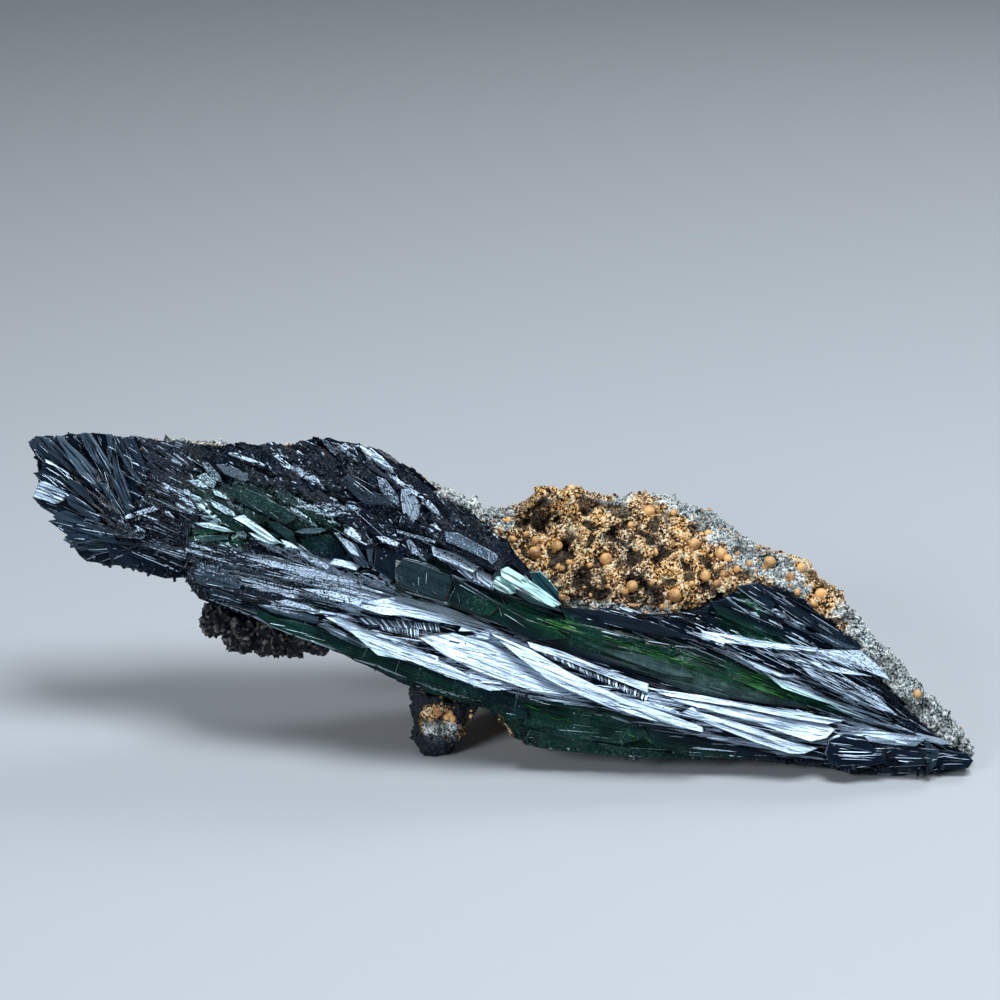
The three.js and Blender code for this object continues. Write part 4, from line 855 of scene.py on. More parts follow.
def crystal_finish(name, settings, transmission=0.0):
    """Blue-black to green glass with fine streaks; painted highlights, sheen, glints and glow."""
    finish = Finish(name)
    grain = finish.grain()
    streak = finish.streaks(grain, 0.07, 1.7, 4.0)
    hair = finish.streaks(grain, 0.08, 3.7, 2.0)
    sugar = finish.streaks(grain, 2.4, 4.6, 3.0, 0.65)
    cloud = finish.noise(finish.place(), 240.0)
    shares = ("tone", "painted_highlight", "painted_sheen", "frost")
    tone, painted_highlight, painted_sheen, frost = (finish.share(name) for name in shares)
    lines = streak * 0.55 + hair * 0.45
    relief = lines + (sugar - lines) * frost
    # Painted glints on the sugary parts:
    painted_glints = sugar.between(0.57, 0.63) * frost * 0.2
    # The painted highlight, where cleavage catches the light:
    bright = (relief + painted_highlight * 0.26).between(0.68, 0.78)
    depth = finish.share("green")
    web = finish.streaks(grain, 0.6, 0.9, 3.0, 0.65)
    cracks = web.between(0.475, 0.5) * (1.0 - web.between(0.5, 0.525)) * depth
    scarred = cracks * cloud.between(0.5, 0.62) * 0.3
    caught = bright + (1.0 - bright) * (painted_glints + scarred)
    green = depth * ((cloud * 0.35 + lines * 0.65).between(0.44, 0.55) * 0.75 + 0.25)
    # Painted glow of light coming through the brightest streaks of the green:
    glow = (depth - 0.75) * 4.0 * lines.between(0.48, 0.54)
    deep = finish.mix(cloud.between(0.35, 0.7), settings.dark, settings.navy)
    # Painted grey sheen on cleavage faces out of the lamp's light, streaked along the grain:
    wear_and_sheen = painted_sheen * (tone * 0.3 + 0.3 + lines.between(0.38, 0.62) * 0.7)
    pale = finish.mix(wear_and_sheen, deep, settings.painted_sheen)
    clear = finish.mix(glow, settings.green, settings.green_glow)
    hazy = finish.mix(finish.share("mist") * (cloud * 0.6 + 0.4), clear, settings.mist)
    body = finish.mix(green * (1.0 - painted_sheen * 0.6), pale, hazy)
    # The painted highlight's colour, green-tinted where the crystal is green, laid over the body:
    tinted = finish.mix(depth, settings.painted_highlight, settings.lit_green)
    shine = finish.mix((hair + cloud * 0.5 - 0.22).between(0.27, 0.46), settings.painted_sheen, tinted)
    colour = finish.mix(caught, body, shine)
    roughness = 0.06 + hair * 0.14 + caught * 0.2 + painted_sheen * 0.12
    normal = finish.bump(relief, 0.2 * MM, 0.6)
    return finish.surface(
        Base_Color=colour, Metallic=caught * 0.3 + painted_sheen * 0.2, Roughness=roughness,
        Normal=normal, IOR=GLASS_IOR, Specular_IOR_Level=0.1, Transmission_Weight=transmission,
    )


def teal_finish(settings):
    """Paler blue-green crystal with a painted highlight in bright streaks."""
    finish = Finish("teal_crystal")
    grain = finish.grain()
    streak = finish.streaks(grain, 0.12, 2.4, 4.0)
    hair = finish.streaks(grain, 0.3, 6.0, 2.0, 0.55)
    painted_highlight = finish.share("painted_highlight")
    caught = (streak * 0.6 + hair * 0.4 + painted_highlight * 0.22 - 0.12).between(0.52, 0.61)
    depth = finish.mix(streak.between(0.4, 0.6), settings.navy, settings.teal)
    # Painted highlight in the bright streaks:
    colour = finish.mix(caught, depth, settings.teal_highlight)
    return finish.surface(
        Base_Color=colour, Roughness=0.14 + hair * 0.14, Metallic=caught * 0.4,
        Normal=finish.bump(streak + hair, 0.14 * MM, 0.5), IOR=GLASS_IOR,
    )


def rock_finish(settings):
    """Earthy ochre with dark pits, yellow grains and a pale grey-green crust. The pits and the
    grit's lows are painted shade, and the grit's tops a painted highlight.
    """
    finish = Finish("rock")
    place = finish.place()
    shade = finish.share("pit")
    stain_and_shade = finish.share("stain_and_shade")
    crust = finish.share("crust")
    broad = finish.noise(place, 70.0, 2.0)
    region = finish.noise(place, 190.0)
    lumps = finish.noise(place, 620.0, 2.0, 0.6)
    grit = finish.noise(place, 2500.0, 2.0, 0.6)
    height = lumps * 0.35 + grit * 0.65
    warm = finish.mix((region + broad - 0.5).between(0.42, 0.6), settings.rust_and_shade, settings.ochre)
    # Painted highlight on the grit's tops:
    lit = finish.mix(height.between(0.512, 0.545), warm, settings.tan)
    # Painted shade in the grit's lows:
    rust_and_shade = finish.mix(height.between(0.446, 0.48), settings.painted_shade, lit)
    chalk = finish.mix(height.between(0.51, 0.56), settings.moss, settings.chalk)
    # Painted shade in the crust's lows, between its grit:
    pale = finish.mix(height.between(0.42, 0.46), settings.dark, chalk)
    crusted = finish.mix((crust + region * 1.4 + lumps * 0.6 - 1.0).between(0.42, 0.54), rust_and_shade, pale)
    # Painted shade in the pits and hollows:
    pit = (shade + lumps - 0.5).between(0.46, 0.7) * (0.92 - crust * 0.6)
    sunk = finish.mix(pit, crusted, settings.painted_shade)
    # Dark stains, and painted shade round the foot, deepest in the lows:
    colour = finish.mix((stain_and_shade * 1.2 + height * 2.0 - 1.2).between(0.4, 0.5), sunk, settings.dark)
    return finish.surface(
        Base_Color=colour, Roughness=0.8, Normal=finish.bump(height, MM),
        Specular_IOR_Level=0.35,
    )


def ooid_finish(settings):
    """Smooth orange balls, dusty and darker in places."""
    finish = Finish("ball")
    shade = finish.noise(finish.place(), 420.0)
    dust = finish.noise(finish.place(), 2900.0)
    warm = finish.mix(shade.between(0.35, 0.62), settings.rust_and_shade, settings.ooid)
    colour = finish.mix(dust.between(0.5, 0.75) * 0.3, warm, settings.tan)
    return finish.surface(
        Base_Color=colour, Roughness=0.45, Normal=finish.bump(dust, 0.2 * MM, 0.7),
    )


def crust_finish(settings):
    """Black glassy crust with a painted highlight along its sharp rims."""
    finish = Finish("dark_knobs")
    mottle = finish.noise(finish.place(), 900.0, 4.0, 0.65)
    edge = finish.share("edge")
    wear_and_sheen = finish.mix(mottle.between(0.5, 0.7), settings.dark, settings.crust)
    # Painted highlight along the knobs' sharp rims:
    colour = finish.mix(edge * mottle.between(0.48, 0.56), wear_and_sheen, settings.crust_rim_highlight)
    return finish.surface(
        Base_Color=colour, Roughness=0.16 + mottle * 0.3,
        Normal=finish.bump(mottle, 0.4 * MM, 0.8), Specular_IOR_Level=0.15,
    )


# ---------- meshes

FLOOR_GAP = 0.02 * MM  # skins and crystals stay this far over the table


def finish_piece(mesh, name, replaced=()):
    """Puts a mesh in the scene as a finished piece, for the frame nodes that it replaces."""
    piece = bpy.data.objects.new(name, mesh)
    bpy.context.scene.collection.objects.link(piece)
    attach(piece, "root")
    if replaced:
        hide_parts(*replaced)


def coat(mesh, material):
    """Gives a smooth mesh its one finish."""
    mesh.materials.clear()
    mesh.materials.append(material)
    mesh.shade_smooth()


def node_mesh(node):
    """A frame node's points in the face frame, its triangles, and each triangle's normal."""
    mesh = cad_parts[node].data
    mesh.calc_loop_triangles()
    points = to_face([v.co for v in mesh.vertices])
    triangles = np.array([t.vertices for t in mesh.loop_triangles])
    a, b, c = (points[triangles[:, k]] for k in range(3))
    normals = np.cross(b - a, c - a)
    return points, triangles, normals


def vertex_places(mesh):
    """Where a mesh's vertices are, in metres."""
    places = np.empty(len(mesh.vertices) * 3)
    mesh.vertices.foreach_get("co", places)
    return places.reshape(-1, 3)


def move_vertices(mesh, places):
    """Puts a mesh's vertices at new places, none of them under the table."""
    places[:, 2] = np.maximum(places[:, 2], FLOOR_GAP)
    mesh.vertices.foreach_set("co", places.ravel())
    mesh.update()


def add_share(mesh, name, values):
    """Notes a number from 0 to 1 at every vertex, for the finish to read."""
    attribute = mesh.attributes.new(name, "FLOAT", "POINT")
    attribute.data.foreach_set("value", np.clip(values, 0, 1).astype(np.float32))


# One blade from root to tip: stations along it, with the share of its width and thickness there.
STATIONS = np.array([0, 0.1, 0.8, 1])
WIDTHS = np.array([0.5, 1, 0.85, 0.1])
THICKNESSES = np.array([0.5, 1, 1, 0.4])
CORNERS = np.array([(1, 1), (-1, 1), (-1, -1), (1, -1)])
SIDES = len(CORNERS)
BLADE_POINTS = SIDES * len(STATIONS)
CHISEL = 0.36  # how far the tip leans to one side, in widths
BEVEL = 0.18  # mm, width of the worn rim of a plate
BEVEL_DROP = 0.08  # mm, how far the rim falls away
LEAST_FACE = 0.55  # share of a plate's spokes that the rim leaves at least
RIM_HIGHLIGHT, RIM_SHEEN = 0.4, 0.25  # painted highlight that the rim gains, and its painted sheen at least
GRAIN_JUMP = (37, 91)  # mm of grain between blades whose tones differ by 1
FACE_JUMP = 0.3  # mm of grain from a blade's middle to its front or back
BODY_HIGHLIGHT = 0.2  # share of painted highlight on a spray's body in the highlight zones


def blade_faces():
    """The quads of one blade: an end, the sides from station to station, and the other end."""
    faces = [(3, 2, 1, 0)]
    last = BLADE_POINTS - SIDES
    for start in range(0, last, SIDES):
        for corner in range(SIDES):
            a, b = start + corner, start + (corner + 1) % SIDES
            faces.append((a, b, b + SIDES, a + SIDES))
    faces.append(tuple(range(last, BLADE_POINTS)))
    return np.array(faces)


BLADE_FACES = blade_faces()


class Crystals:
    """Closed blades and plates, kept as arrays in the face frame until they become a mesh."""

    def __init__(self):
        self.points, self.uvs, self.shares, self.faces = [], [], [], []
        self.count = 0

    def take(self, points, uvs, shares, faces):
        """Shares are tone, painted highlight and painted sheen, for each point."""
        self.points.append(points)
        self.uvs.append(uvs)
        self.shares.append(shares)
        self.faces += [tuple(f + self.count for f in face) for face in faces]
        self.count += len(points)

    def blades(self, root, tip, normal, width, thick, lean, tone, painted_highlight, painted_sheen):
        """Flat chisel-ended bars. root, tip and normal are (n, 3), and the others (n,)."""
        axis = tip - root
        length = np.linalg.norm(axis, axis=1)
        axis = unit(axis)
        across = unit(np.cross(normal, axis))
        normal = np.cross(axis, across)
        count = len(root)
        points = np.empty((count, BLADE_POINTS, 3))
        uvs = np.empty((count, BLADE_POINTS, 2))
        offset = np.outer(tone, GRAIN_JUMP) + root[:, :2]
        for i, station in enumerate(STATIONS):
            centre = root + axis * (length * station)[:, None]
            if station == 1:
                centre = centre + across * (CHISEL * width * lean)[:, None]
            for j, (side, face) in enumerate(CORNERS):
                sideways = (0.5 * side * width * WIDTHS[i])[:, None] * across
                inout = (0.5 * face * thick * THICKNESSES[i])[:, None] * normal
                points[:, SIDES * i + j] = centre + sideways + inout
                across_grain = 0.5 * side * width + FACE_JUMP * face
                uvs[:, SIDES * i + j] = np.stack([length * station, across_grain], 1) + offset
        starts = BLADE_POINTS * np.arange(count)[:, None, None]
        faces = (BLADE_FACES[None] + starts).reshape(-1, SIDES)
        shares = np.repeat(np.stack([tone, painted_highlight, painted_sheen], axis=1), BLADE_POINTS, axis=0)
        self.take(points.reshape(-1, 3), uvs.reshape(-1, 2), shares, faces.tolist())

    def plate(self, outline, height, normal, thick, tone, painted_highlight, painted_sheen):
        """A flat plate with a worn rim, whose middle lies at a height over the face."""
        centre = outline.mean(0)
        spokes = outline - centre
        shrink = np.maximum(1 - BEVEL / np.linalg.norm(spokes, axis=1), LEAST_FACE)[:, None]
        rings = ((centre + spokes * shrink, 0), (outline, BEVEL_DROP), (outline, thick))
        # The bevelled rim bears more painted highlight, and at least some painted sheen:
        rim = np.array([tone, min(painted_highlight + RIM_HIGHLIGHT, 1), max(painted_sheen, RIM_SHEEN)])
        long_way = np.linalg.svd(spokes, full_matrices=False)[2][0]
        short_way = np.array([-long_way[1], long_way[0]])
        points, uvs = [], []
        for flat, drop in rings:
            rise = height - (flat - centre) @ normal[:2] / normal[2]
            points.append(np.column_stack([flat, rise - drop]))
            along = flat @ long_way + GRAIN_JUMP[0] * tone
            uvs.append(np.column_stack([along, flat @ short_way + GRAIN_JUMP[1] * tone + drop]))
        n = len(outline)
        faces = [tuple(range(n)), tuple(range(3 * n - 1, 2 * n - 1, -1))]
        for start in (0, n):
            for i in range(n):
                j = (i + 1) % n
                faces.append((start + i, start + n + i, start + n + j, start + j))
        shares = np.tile([tone, painted_highlight, painted_sheen], (3 * n, 1))
        shares[n : 2 * n] = rim
        self.take(np.concatenate(points), np.concatenate(uvs), shares, faces)

    def skin(self, base_points, base_triangles):
        """All the points so far with a body's, and the faces between them."""
        triangles = [tuple(t) for t in base_triangles + self.count]
        return np.concatenate([*self.points, base_points]), self.faces + triangles

    def mesh(self, name, base_points, base_triangles, spray):
        """The blades and plates and the body that they grow on, as one mesh in the frame."""
        points, faces = self.skin(base_points, base_triangles)
        placed = to_frame(points)
        placed[:, 2] = np.maximum(placed[:, 2], FLOOR_GAP)
        mesh = bpy.data.meshes.new(name)
        mesh.from_pydata(placed.tolist(), [], faces)
        axis = grain_at(base_points, spray)
        across = np.stack([-axis[:, 1], axis[:, 0]], axis=1)
        flat = base_points[:, :2]
        base_uv = np.stack([(flat * axis).sum(1), (flat * across).sum(1)], axis=1)
        uvs = np.concatenate([*self.uvs, base_uv])
        loops = np.empty(len(mesh.loops), int)
        mesh.loops.foreach_get("vertex_index", loops)
        layer = mesh.uv_layers.new(name="grain")
        layer.data.foreach_set("uv", uvs[loops].ravel())
        base_shares = np.zeros((len(flat), 3))
        # A faint painted highlight on the body in the highlight zones:
        base_shares[:, 1] = BODY_HIGHLIGHT * zoned(base_points, HIGHLIGHT_ZONES)
        shares = np.concatenate([*self.shares, base_shares])
        for column, share in enumerate(("tone", "painted_highlight", "painted_sheen")):
            add_share(mesh, share, shares[:, column])
        for share, zones in (
            ("green", GREEN_ZONES), ("mist", MIST_ZONES), ("frost", FROST_ZONES),
        ):
            add_share(mesh, share, zoned(points, zones))
        return mesh


# ---------- crystals

MIRROR_TILT = 27  # degrees that a face leans up to send the lamp's light to the camera
MAP_LOW, MAP_SIZE = (-80.0, -40.0), (160, 80)  # mm, corner and size of the map of plates
CELL = 0.25  # mm, its step
PLATE_RIM = 0.05  # mm round a plate that count as under it
STRIDE = 0.8  # mm, step of a line that feels its way along the skin
SKIN_REACH = 1.3  # mm, how near the skin it has to stay
ROOM = 1  # mm, clear space over a place on the sides or the back where a blade may grow
ROOM_START = 0.02  # mm over the skin, where that space is measured from
IN_FRONT = 60  # mm, a distance in front of everything
TRIES = 3  # places tried for each seat on the front
FRONTAL = 0.6  # a normal with less w than this belongs to the sides or the back
BACKWARD = -0.3  # and one with less than this to the back
SUNK_FROM = 2.5  # mm over its back, from where a spray's body is sunk
# Bands of blades that catch the light: bands a radian round the focus, length in mm, the slice of
# the noise that is used, and how much the bands and chance count beside the silver zones.
BAND_FINENESS, BAND_LENGTH, BAND_SLICE, BAND_POWER, BAND_CHANCE = 90.0, 14.0, 3.7, 0.8, 0.16
SMALLNESS = 1.6  # power that makes most blades short and narrow
LEAST_LENGTH = 0.5  # mm, a shorter blade is left out
PLATE_THICK = 1.5  # mm, of a plate that doesn't stand proud
LINE_THICK, LINE_LIFT = 0.35, 0.05  # mm
COMB_WIDTH, COMB_THICK, COMB_RISE = 0.62, 0.3, 0.5  # share of its spacing, mm, share of its length
LONE_SUNK = 0.25  # mm, how far a lone crystal's body lies under its plates
LONE_GRAIN = {"focus": (40, -25), "away": False}


def grain_at(points, spray):
    """The direction of a spray's grain at each point, in the plane of the face."""
    sign = -1.0 if spray["away"] else 1.0
    way = unit(sign * (np.array(spray["focus"]) - points[:, :2]))
    if "past" in spray:
        limit, other = spray["past"]
        beyond = points[:, 0] > limit
        way[beyond] = grain_at(points[beyond], SPRAYS[other])
    return way


class PlateMap:
    """Tells which places of the face lie under a plate."""

    def __init__(self, outlines):
        self.low = np.array(MAP_LOW)
        u, v = (np.arange(0, size, CELL) + low for size, low in zip(MAP_SIZE, self.low))
        cells = np.stack(np.meshgrid(u, v, indexing="ij"), axis=-1).reshape(-1, 2)
        self.taken = np.zeros((len(u), len(v)), bool)
        for outline in outlines:
            low, high = outline.min(0), outline.max(0)
            near = ((cells >= low) & (cells <= high)).all(1)
            inside = np.zeros(len(cells), bool)
            inside[near] = depth_in(cells[near], outline) > -PLATE_RIM
            self.taken |= inside.reshape(self.taken.shape)

    def at(self, points):
        """Whether each point lies under a plate."""
        index = np.floor((np.atleast_2d(points)[:, :2] - self.low) / CELL + 0.5).astype(int)
        index = np.clip(index, 0, np.array(self.taken.shape) - 1)
        return self.taken[index[:, 0], index[:, 1]]


def reach(tree, plates, start, step, length):
    """How far a straight line from start stays by the body's skin and off its plates."""
    travelled = 0.0
    while travelled < length:
        travelled += STRIDE
        place = start + step * travelled
        if plates.at(place)[0] or tree.find_nearest(Vector(place), SKIN_REACH)[0] is None:
            return travelled - STRIDE
    return length


def tree_of(points, faces):
    """A tree that finds places on a skin."""
    return BVHTree.FromPolygons([tuple(p) for p in points], [tuple(f) for f in faces])


def under(tree, u, v):
    """The skin's place and normal at (u, v), as seen from in front."""
    return tree.ray_cast(Vector((u, v, IN_FRONT)), Vector((0, 0, -1)))[:2]


def seats_in_front(tree, points, plates, count, random):
    """Places on the skin as seen along the face's outward direction, with their normals."""
    low, high = points.min(0), points.max(0)
    seats, normals = [], []
    for u, v in low[:2] + (high - low)[:2] * random.random((count * TRIES, 2)):
        at, normal = under(tree, u, v)
        if at is not None and len(seats) < count and not plates.at(at)[0]:
            seats.append(at)
            normals.append(normal)
    return np.array(seats), np.array(normals)


def seats_around(points, triangles, normals, rock, count, random):
    """Places on the parts of the skin that face up, down, back or to the ends, off the rock."""
    area = np.linalg.norm(normals, axis=1) / 2
    facing = unit(normals)
    rim = np.where(facing[:, 2] < FRONTAL, area, 0)
    picked = random.choice(len(triangles), count, p=rim / rim.sum())
    a, b, c = (points[triangles[picked, k]] for k in range(3))
    s, t = np.sqrt(random.random((count, 1))), random.random((count, 1))
    seats = a * (1 - s) + b * (s * (1 - t)) + c * (s * t)
    away = facing[picked]
    clear = [
        rock.ray_cast(Vector(seat + out * ROOM_START), Vector(out), ROOM)[0] is None
        for seat, out in zip(seats, away)
    ]
    return seats[clear], away[clear]


def streak_at(points, spray):
    """Bands that follow a spray's grain, from -1 to 1, by the angle round its focus."""
    away = points[:, :2] - np.array(spray["focus"])
    angle = np.arctan2(away[:, 1], away[:, 0])
    far = np.hypot(away[:, 0], away[:, 1])
    slices = np.full(len(far), BAND_SLICE)
    places = np.stack([angle * BAND_FINENESS, far / BAND_LENGTH, slices], axis=1)
    return np.array([noise.noise(Vector(p)) for p in places])


def uphill(axis, normals):
    """Directions square to each axis and normal, turned so that they point up the face."""
    across = np.cross(normals, axis)
    return across * np.where(across[:, 1] > 0, 1, -1)[:, None]


def leant(axis, degrees):
    """Normals square to each axis that lean up the face by an angle from straight out."""
    turn = np.radians(degrees)[:, None]
    return np.array([0, 0, 1.0]) * np.cos(turn) + unit(uphill(axis, [0, 0, 1.0])) * np.sin(turn)


def axes_along(seats, normals, spray, wander, random):
    """Each blade's way: along the grain, give or take its wander, and flat on the skin."""
    turn = np.radians(random.normal(0, wander, len(seats)))
    u, v = grain_at(seats, spray).T
    turned_u, turned_v = u * np.cos(turn) - v * np.sin(turn), u * np.sin(turn) + v * np.cos(turn)
    axis = np.stack([turned_u, turned_v, np.zeros(len(seats))], axis=1)
    return unit(axis - (axis * normals).sum(1)[:, None] * normals)


def ends_along(seats, axis, length, share, tree, plates):
    """Each blade's root and tip on the skin, with a share of its length behind its seat."""
    roots, tips = np.empty((len(seats), 3)), np.empty((len(seats), 3))
    for i, seat in enumerate(seats):
        back = reach(tree, plates, seat, -axis[i], length[i] * share[i])
        ahead = reach(tree, plates, seat, axis[i], length[i] * (1 - share[i]))
        roots[i] = tree.find_nearest(Vector(seat - axis[i] * back))[0]
        tips[i] = tree.find_nearest(Vector(seat + axis[i] * ahead))[0]
    return roots, tips


def facings(axis, normals, caught, tilt, random):
    """Which way each blade faces: to the lamp where it caught the light, or by its own tilt."""
    count = len(axis)
    mean, spread = tilt
    turn = np.radians(random.normal(mean, spread, count))[:, None]
    around = normals * np.cos(turn) + uphill(axis, normals) * np.sin(turn)
    shaded = unit(leant(axis, random.normal(mean - 10, 0.6 * spread, count)) + 0.2 * normals)
    bright = leant(axis, random.normal(MIRROR_TILT, 5, count))
    frontal = np.where(caught[:, None], bright, shaded)
    return np.where((normals[:, 2] > 0.5)[:, None], frontal, around)


def lay(crystals, seats, normals, tree, plates, spray, style, random):
    """Lays one blade on each seat, along the grain and as far as the skin goes."""
    count = len(seats)
    axis = axes_along(seats, normals, spray, style["wander"], random)

    def drawn(key, power=1.0):
        low, high = style[key]
        return low + (high - low) * random.random(count) ** power

    length, width = drawn("length", SMALLNESS), drawn("width", SMALLNESS)
    thick, lift = drawn("thick"), drawn("lift")
    roots, tips = ends_along(seats, axis, length, random.random(count), tree, plates)
    middle = (roots + tips) / 2
    zone = zoned(middle, HIGHLIGHT_ZONES) * (normals[:, 2] > 0)
    bands = BAND_POWER * streak_at(middle, spray)
    level = zone + bands + random.normal(0, BAND_CHANCE, count)
    caught = ((level > 0.5) & (zone > 0.05)) | (random.random(count) < style["glint"])
    facing = facings(axis, normals, caught, style["tilt"], random)
    raised = normals * (lift - 0.3 * thick)[:, None]
    tone = random.random(count)
    lean = random.choice([-1.0, 1.0], count)
    # Painted highlight on blades that caught the light, and a faint painted sheen on the others:
    painted_highlight = np.where(caught, 0.88 + 0.15 * random.random(count), 0.1 * zone)
    painted_sheen = np.where(caught, 0.6, 0.16 * random.random(count) ** 3)
    fits = np.linalg.norm(tips - roots, axis=1) > LEAST_LENGTH
    if style is HAIRS:
        fits &= random.random(count) > 1.6 * zoned(middle, GREEN_ZONES)
    width = np.where(caught, 0.8, 1.0) * width
    columns = (roots + raised, tips + raised, facing, width, thick, lean, tone, painted_highlight, painted_sheen)
    crystals.blades(*(column[fits] for column in columns))


def lay_plates(crystals, node, tree, random):
    """The plates of a spray, and the map of where they lie."""
    outlines = []
    for painted_highlight, painted_sheen, tilt, proud, numbers in PLATES.get(node, ()):
        outline = pairs(numbers)
        outlines.append(outline)
        found = [under(tree, *at)[0] for at in [*outline, outline.mean(0)]]
        found = [at.z for at in found if at is not None]
        if not found:
            continue
        spokes = outline - outline.mean(0)
        axis = np.append(np.linalg.svd(spokes, full_matrices=False)[2][0], 0)
        normal = leant(axis[None], np.array([float(tilt)]))[0]
        height = max(np.mean(found), found[-1]) + proud
        tone = random.random()
        thick = PLATE_THICK + max(proud, 0)
        crystals.plate(outline, height, normal, thick, tone, painted_highlight, painted_sheen)
    return PlateMap(outlines)


def on_skin(tree, places, lift, level=False):
    """Places (u, v) at a lift over the skin, each at its own height or all on one level."""
    hits = [under(tree, *at)[0] for at in places]
    known = [hit.z for hit in hits if hit is not None]
    rest = float(np.median(known)) if known else 0.0
    heights = [rest if hit is None or level else hit.z for hit in hits]
    return np.column_stack([places, np.array(heights) + lift])


def draw_lines(crystals, node, tree):
    """Fine raised lines on a spray."""
    for width, painted_highlight, lines in LINES.get(node, ()):
        for places in (on_skin(tree, pairs(line), LINE_LIFT) for line in lines):
            roots, tips = places[:-1], places[1:]
            ones = np.ones(len(roots))
            normals = leant(unit(tips - roots), ones * MIRROR_TILT)
            crystals.blades(
                roots, tips, normals, ones * width, ones * LINE_THICK, ones, ones * 0.5,
                ones * painted_highlight, ones * 0.9 * painted_highlight,
            )


def set_combs(crystals, node, tree):
    """Rows of short blades, which rise from their upper line to their lower one."""
    for count, painted_highlight, upper, lower in COMBS.get(node, ()):
        share = np.linspace(0, 1, count)[:, None]
        ends = [line[0] + (line[1] - line[0]) * share for line in (pairs(upper), pairs(lower))]
        rise = LINE_LIFT + COMB_RISE * np.linalg.norm(ends[1] - ends[0], axis=1)
        roots = on_skin(tree, ends[0], LINE_LIFT, True)
        tips = np.column_stack([ends[1], roots[:, 2] + rise])
        wide = np.linalg.norm(ends[0][1] - ends[0][0]) * COMB_WIDTH
        ones = np.ones(count)
        crystals.blades(
            roots, tips, np.tile([0, 0.3, 1.0], (count, 1)), ones * wide, ones * COMB_THICK,
            ones, share[:, 0], painted_highlight * (0.5 + 0.5 * np.sin(share[:, 0] * 37) ** 2), ones * 0.5,
        )


def ragged(crystals, node, tree, random):
    """Small knobs, turned every way, along the ragged and the sugary parts of a spray."""
    for count, size, spread, painted_highlight, numbers in RAGGED.get(node, ()):
        line = pairs(numbers)
        share = random.random(count) * (len(line) - 1)
        leg = share.astype(int)
        places = line[leg] + (line[leg + 1] - line[leg]) * (share - leg)[:, None]
        places = places + random.normal(0, spread, (count, 2))
        hits = [under(tree, *at)[0] for at in places]
        roots = np.array([hit for hit in hits if hit is not None])
        n = len(roots)
        if not n:
            continue
        span = size * (0.5 + random.random((n, 1)))
        tips = roots + unit(random.normal(0, 1, (n, 3)) + [0.6, -0.2, 0.1]) * span
        crystals.blades(
            roots, tips, unit(random.normal(0, 0.6, (n, 3)) + [0, 0.2, 1]), span[:, 0] * 0.7,
            span[:, 0] * 0.5, random.choice([-1.0, 1.0], n), random.random(n),
            painted_highlight * random.random(n), 0.3 * random.random(n) ** 2,
        )


def sunken(points, spray):
    """The points of a spray's body, sunk under its blades and shrunk round its focus."""
    base = points.copy()
    base[:, 2] -= np.where(points[:, 2] > points[:, 2].min() + SUNK_FROM, spray["sunk"], 0)
    if "shrunk" in spray:
        focus = np.array(spray["focus"])
        outer = points[:, 0] < focus[0]
        base[outer, :2] = focus + (base[outer, :2] - focus) * spray["shrunk"]
    return base


def grow(node, spray, density, rock, seed):
    """A spray's sunken body under stout slabs, plates and fine blades."""
    random = np.random.default_rng(seed)
    points, triangles, normals = node_mesh(node)
    around = [node_mesh(name)[:2] for name in spray["over"]]
    base = sunken(points, spray)

    def skin_with(own, own_faces):
        faces, stack, start = list(own_faces), [own], len(own)
        for other, other_triangles in around:
            faces.extend(other_triangles + start)
            stack.append(other)
            start += len(other)
        return tree_of(np.concatenate(stack), faces)

    crystals = Crystals()
    own, skin = tree_of(points, triangles), skin_with(points, triangles)
    plates, bare = lay_plates(crystals, node, skin, random), PlateMap([])
    for layer in ("slabs", "blades"):
        settings = spray[layer]
        count = int(settings["count"] * (density if layer == "blades" else 1))
        front = seats_in_front(own, points, plates, count, random)
        rim = seats_around(points, triangles, normals, rock, int(count * spray["round"]), random)
        behind = rim[1][:, 2] < BACKWARD if len(rim[0]) else np.zeros(0, bool)
        for seats, facing, covered_by, style in (
            (*front, plates, settings),
            (rim[0][~behind], rim[1][~behind], plates, settings),
            (rim[0][behind], rim[1][behind], bare, {**settings, **AROUND}),
        ):
            if len(seats):
                lay(crystals, seats, facing, skin, covered_by, spray, style, random)
        stacked, faces = crystals.skin(base, triangles)
        skin, own = skin_with(stacked, faces), tree_of(stacked, faces)
    seats, facing = seats_in_front(own, points, bare, int(spray["hairs"] * density), random)
    lay(crystals, seats, facing, skin, bare, spray, HAIRS, random)
    draw_lines(crystals, node, own)
    set_combs(crystals, node, own)
    ragged(crystals, node, own, random)
    return crystals.mesh(node + "_crystals", base, triangles, spray)


class VIVIANITE_OT_grow_sprays(bpy.types.Operator):
    """Grow the sprays of bladed crystals"""

    bl_idname = "vivianite.grow_sprays"
    bl_label = "Sprays of blades"

    def execute(self, context):
        settings = context.scene.vivianite_crystal
        dark = crystal_finish("dark_crystal", settings)
        clear = crystal_finish("green_crystal", settings, GREEN_CLEARNESS)
        points, triangles, _ = node_mesh("ironstone_block")
        rock = tree_of(points, triangles)
        for seed, (node, spray) in enumerate(SPRAYS.items(), start=11):
            mesh = grow(node, spray, settings.density, rock, seed)
            slot = "green_vivianite" if node == "stout_prism" else "vivianite"
            mesh.materials.append(clear if node == "stout_prism" else dark)
            finish_piece(mesh, node + "_crystals", [node])
        return {"FINISHED"}


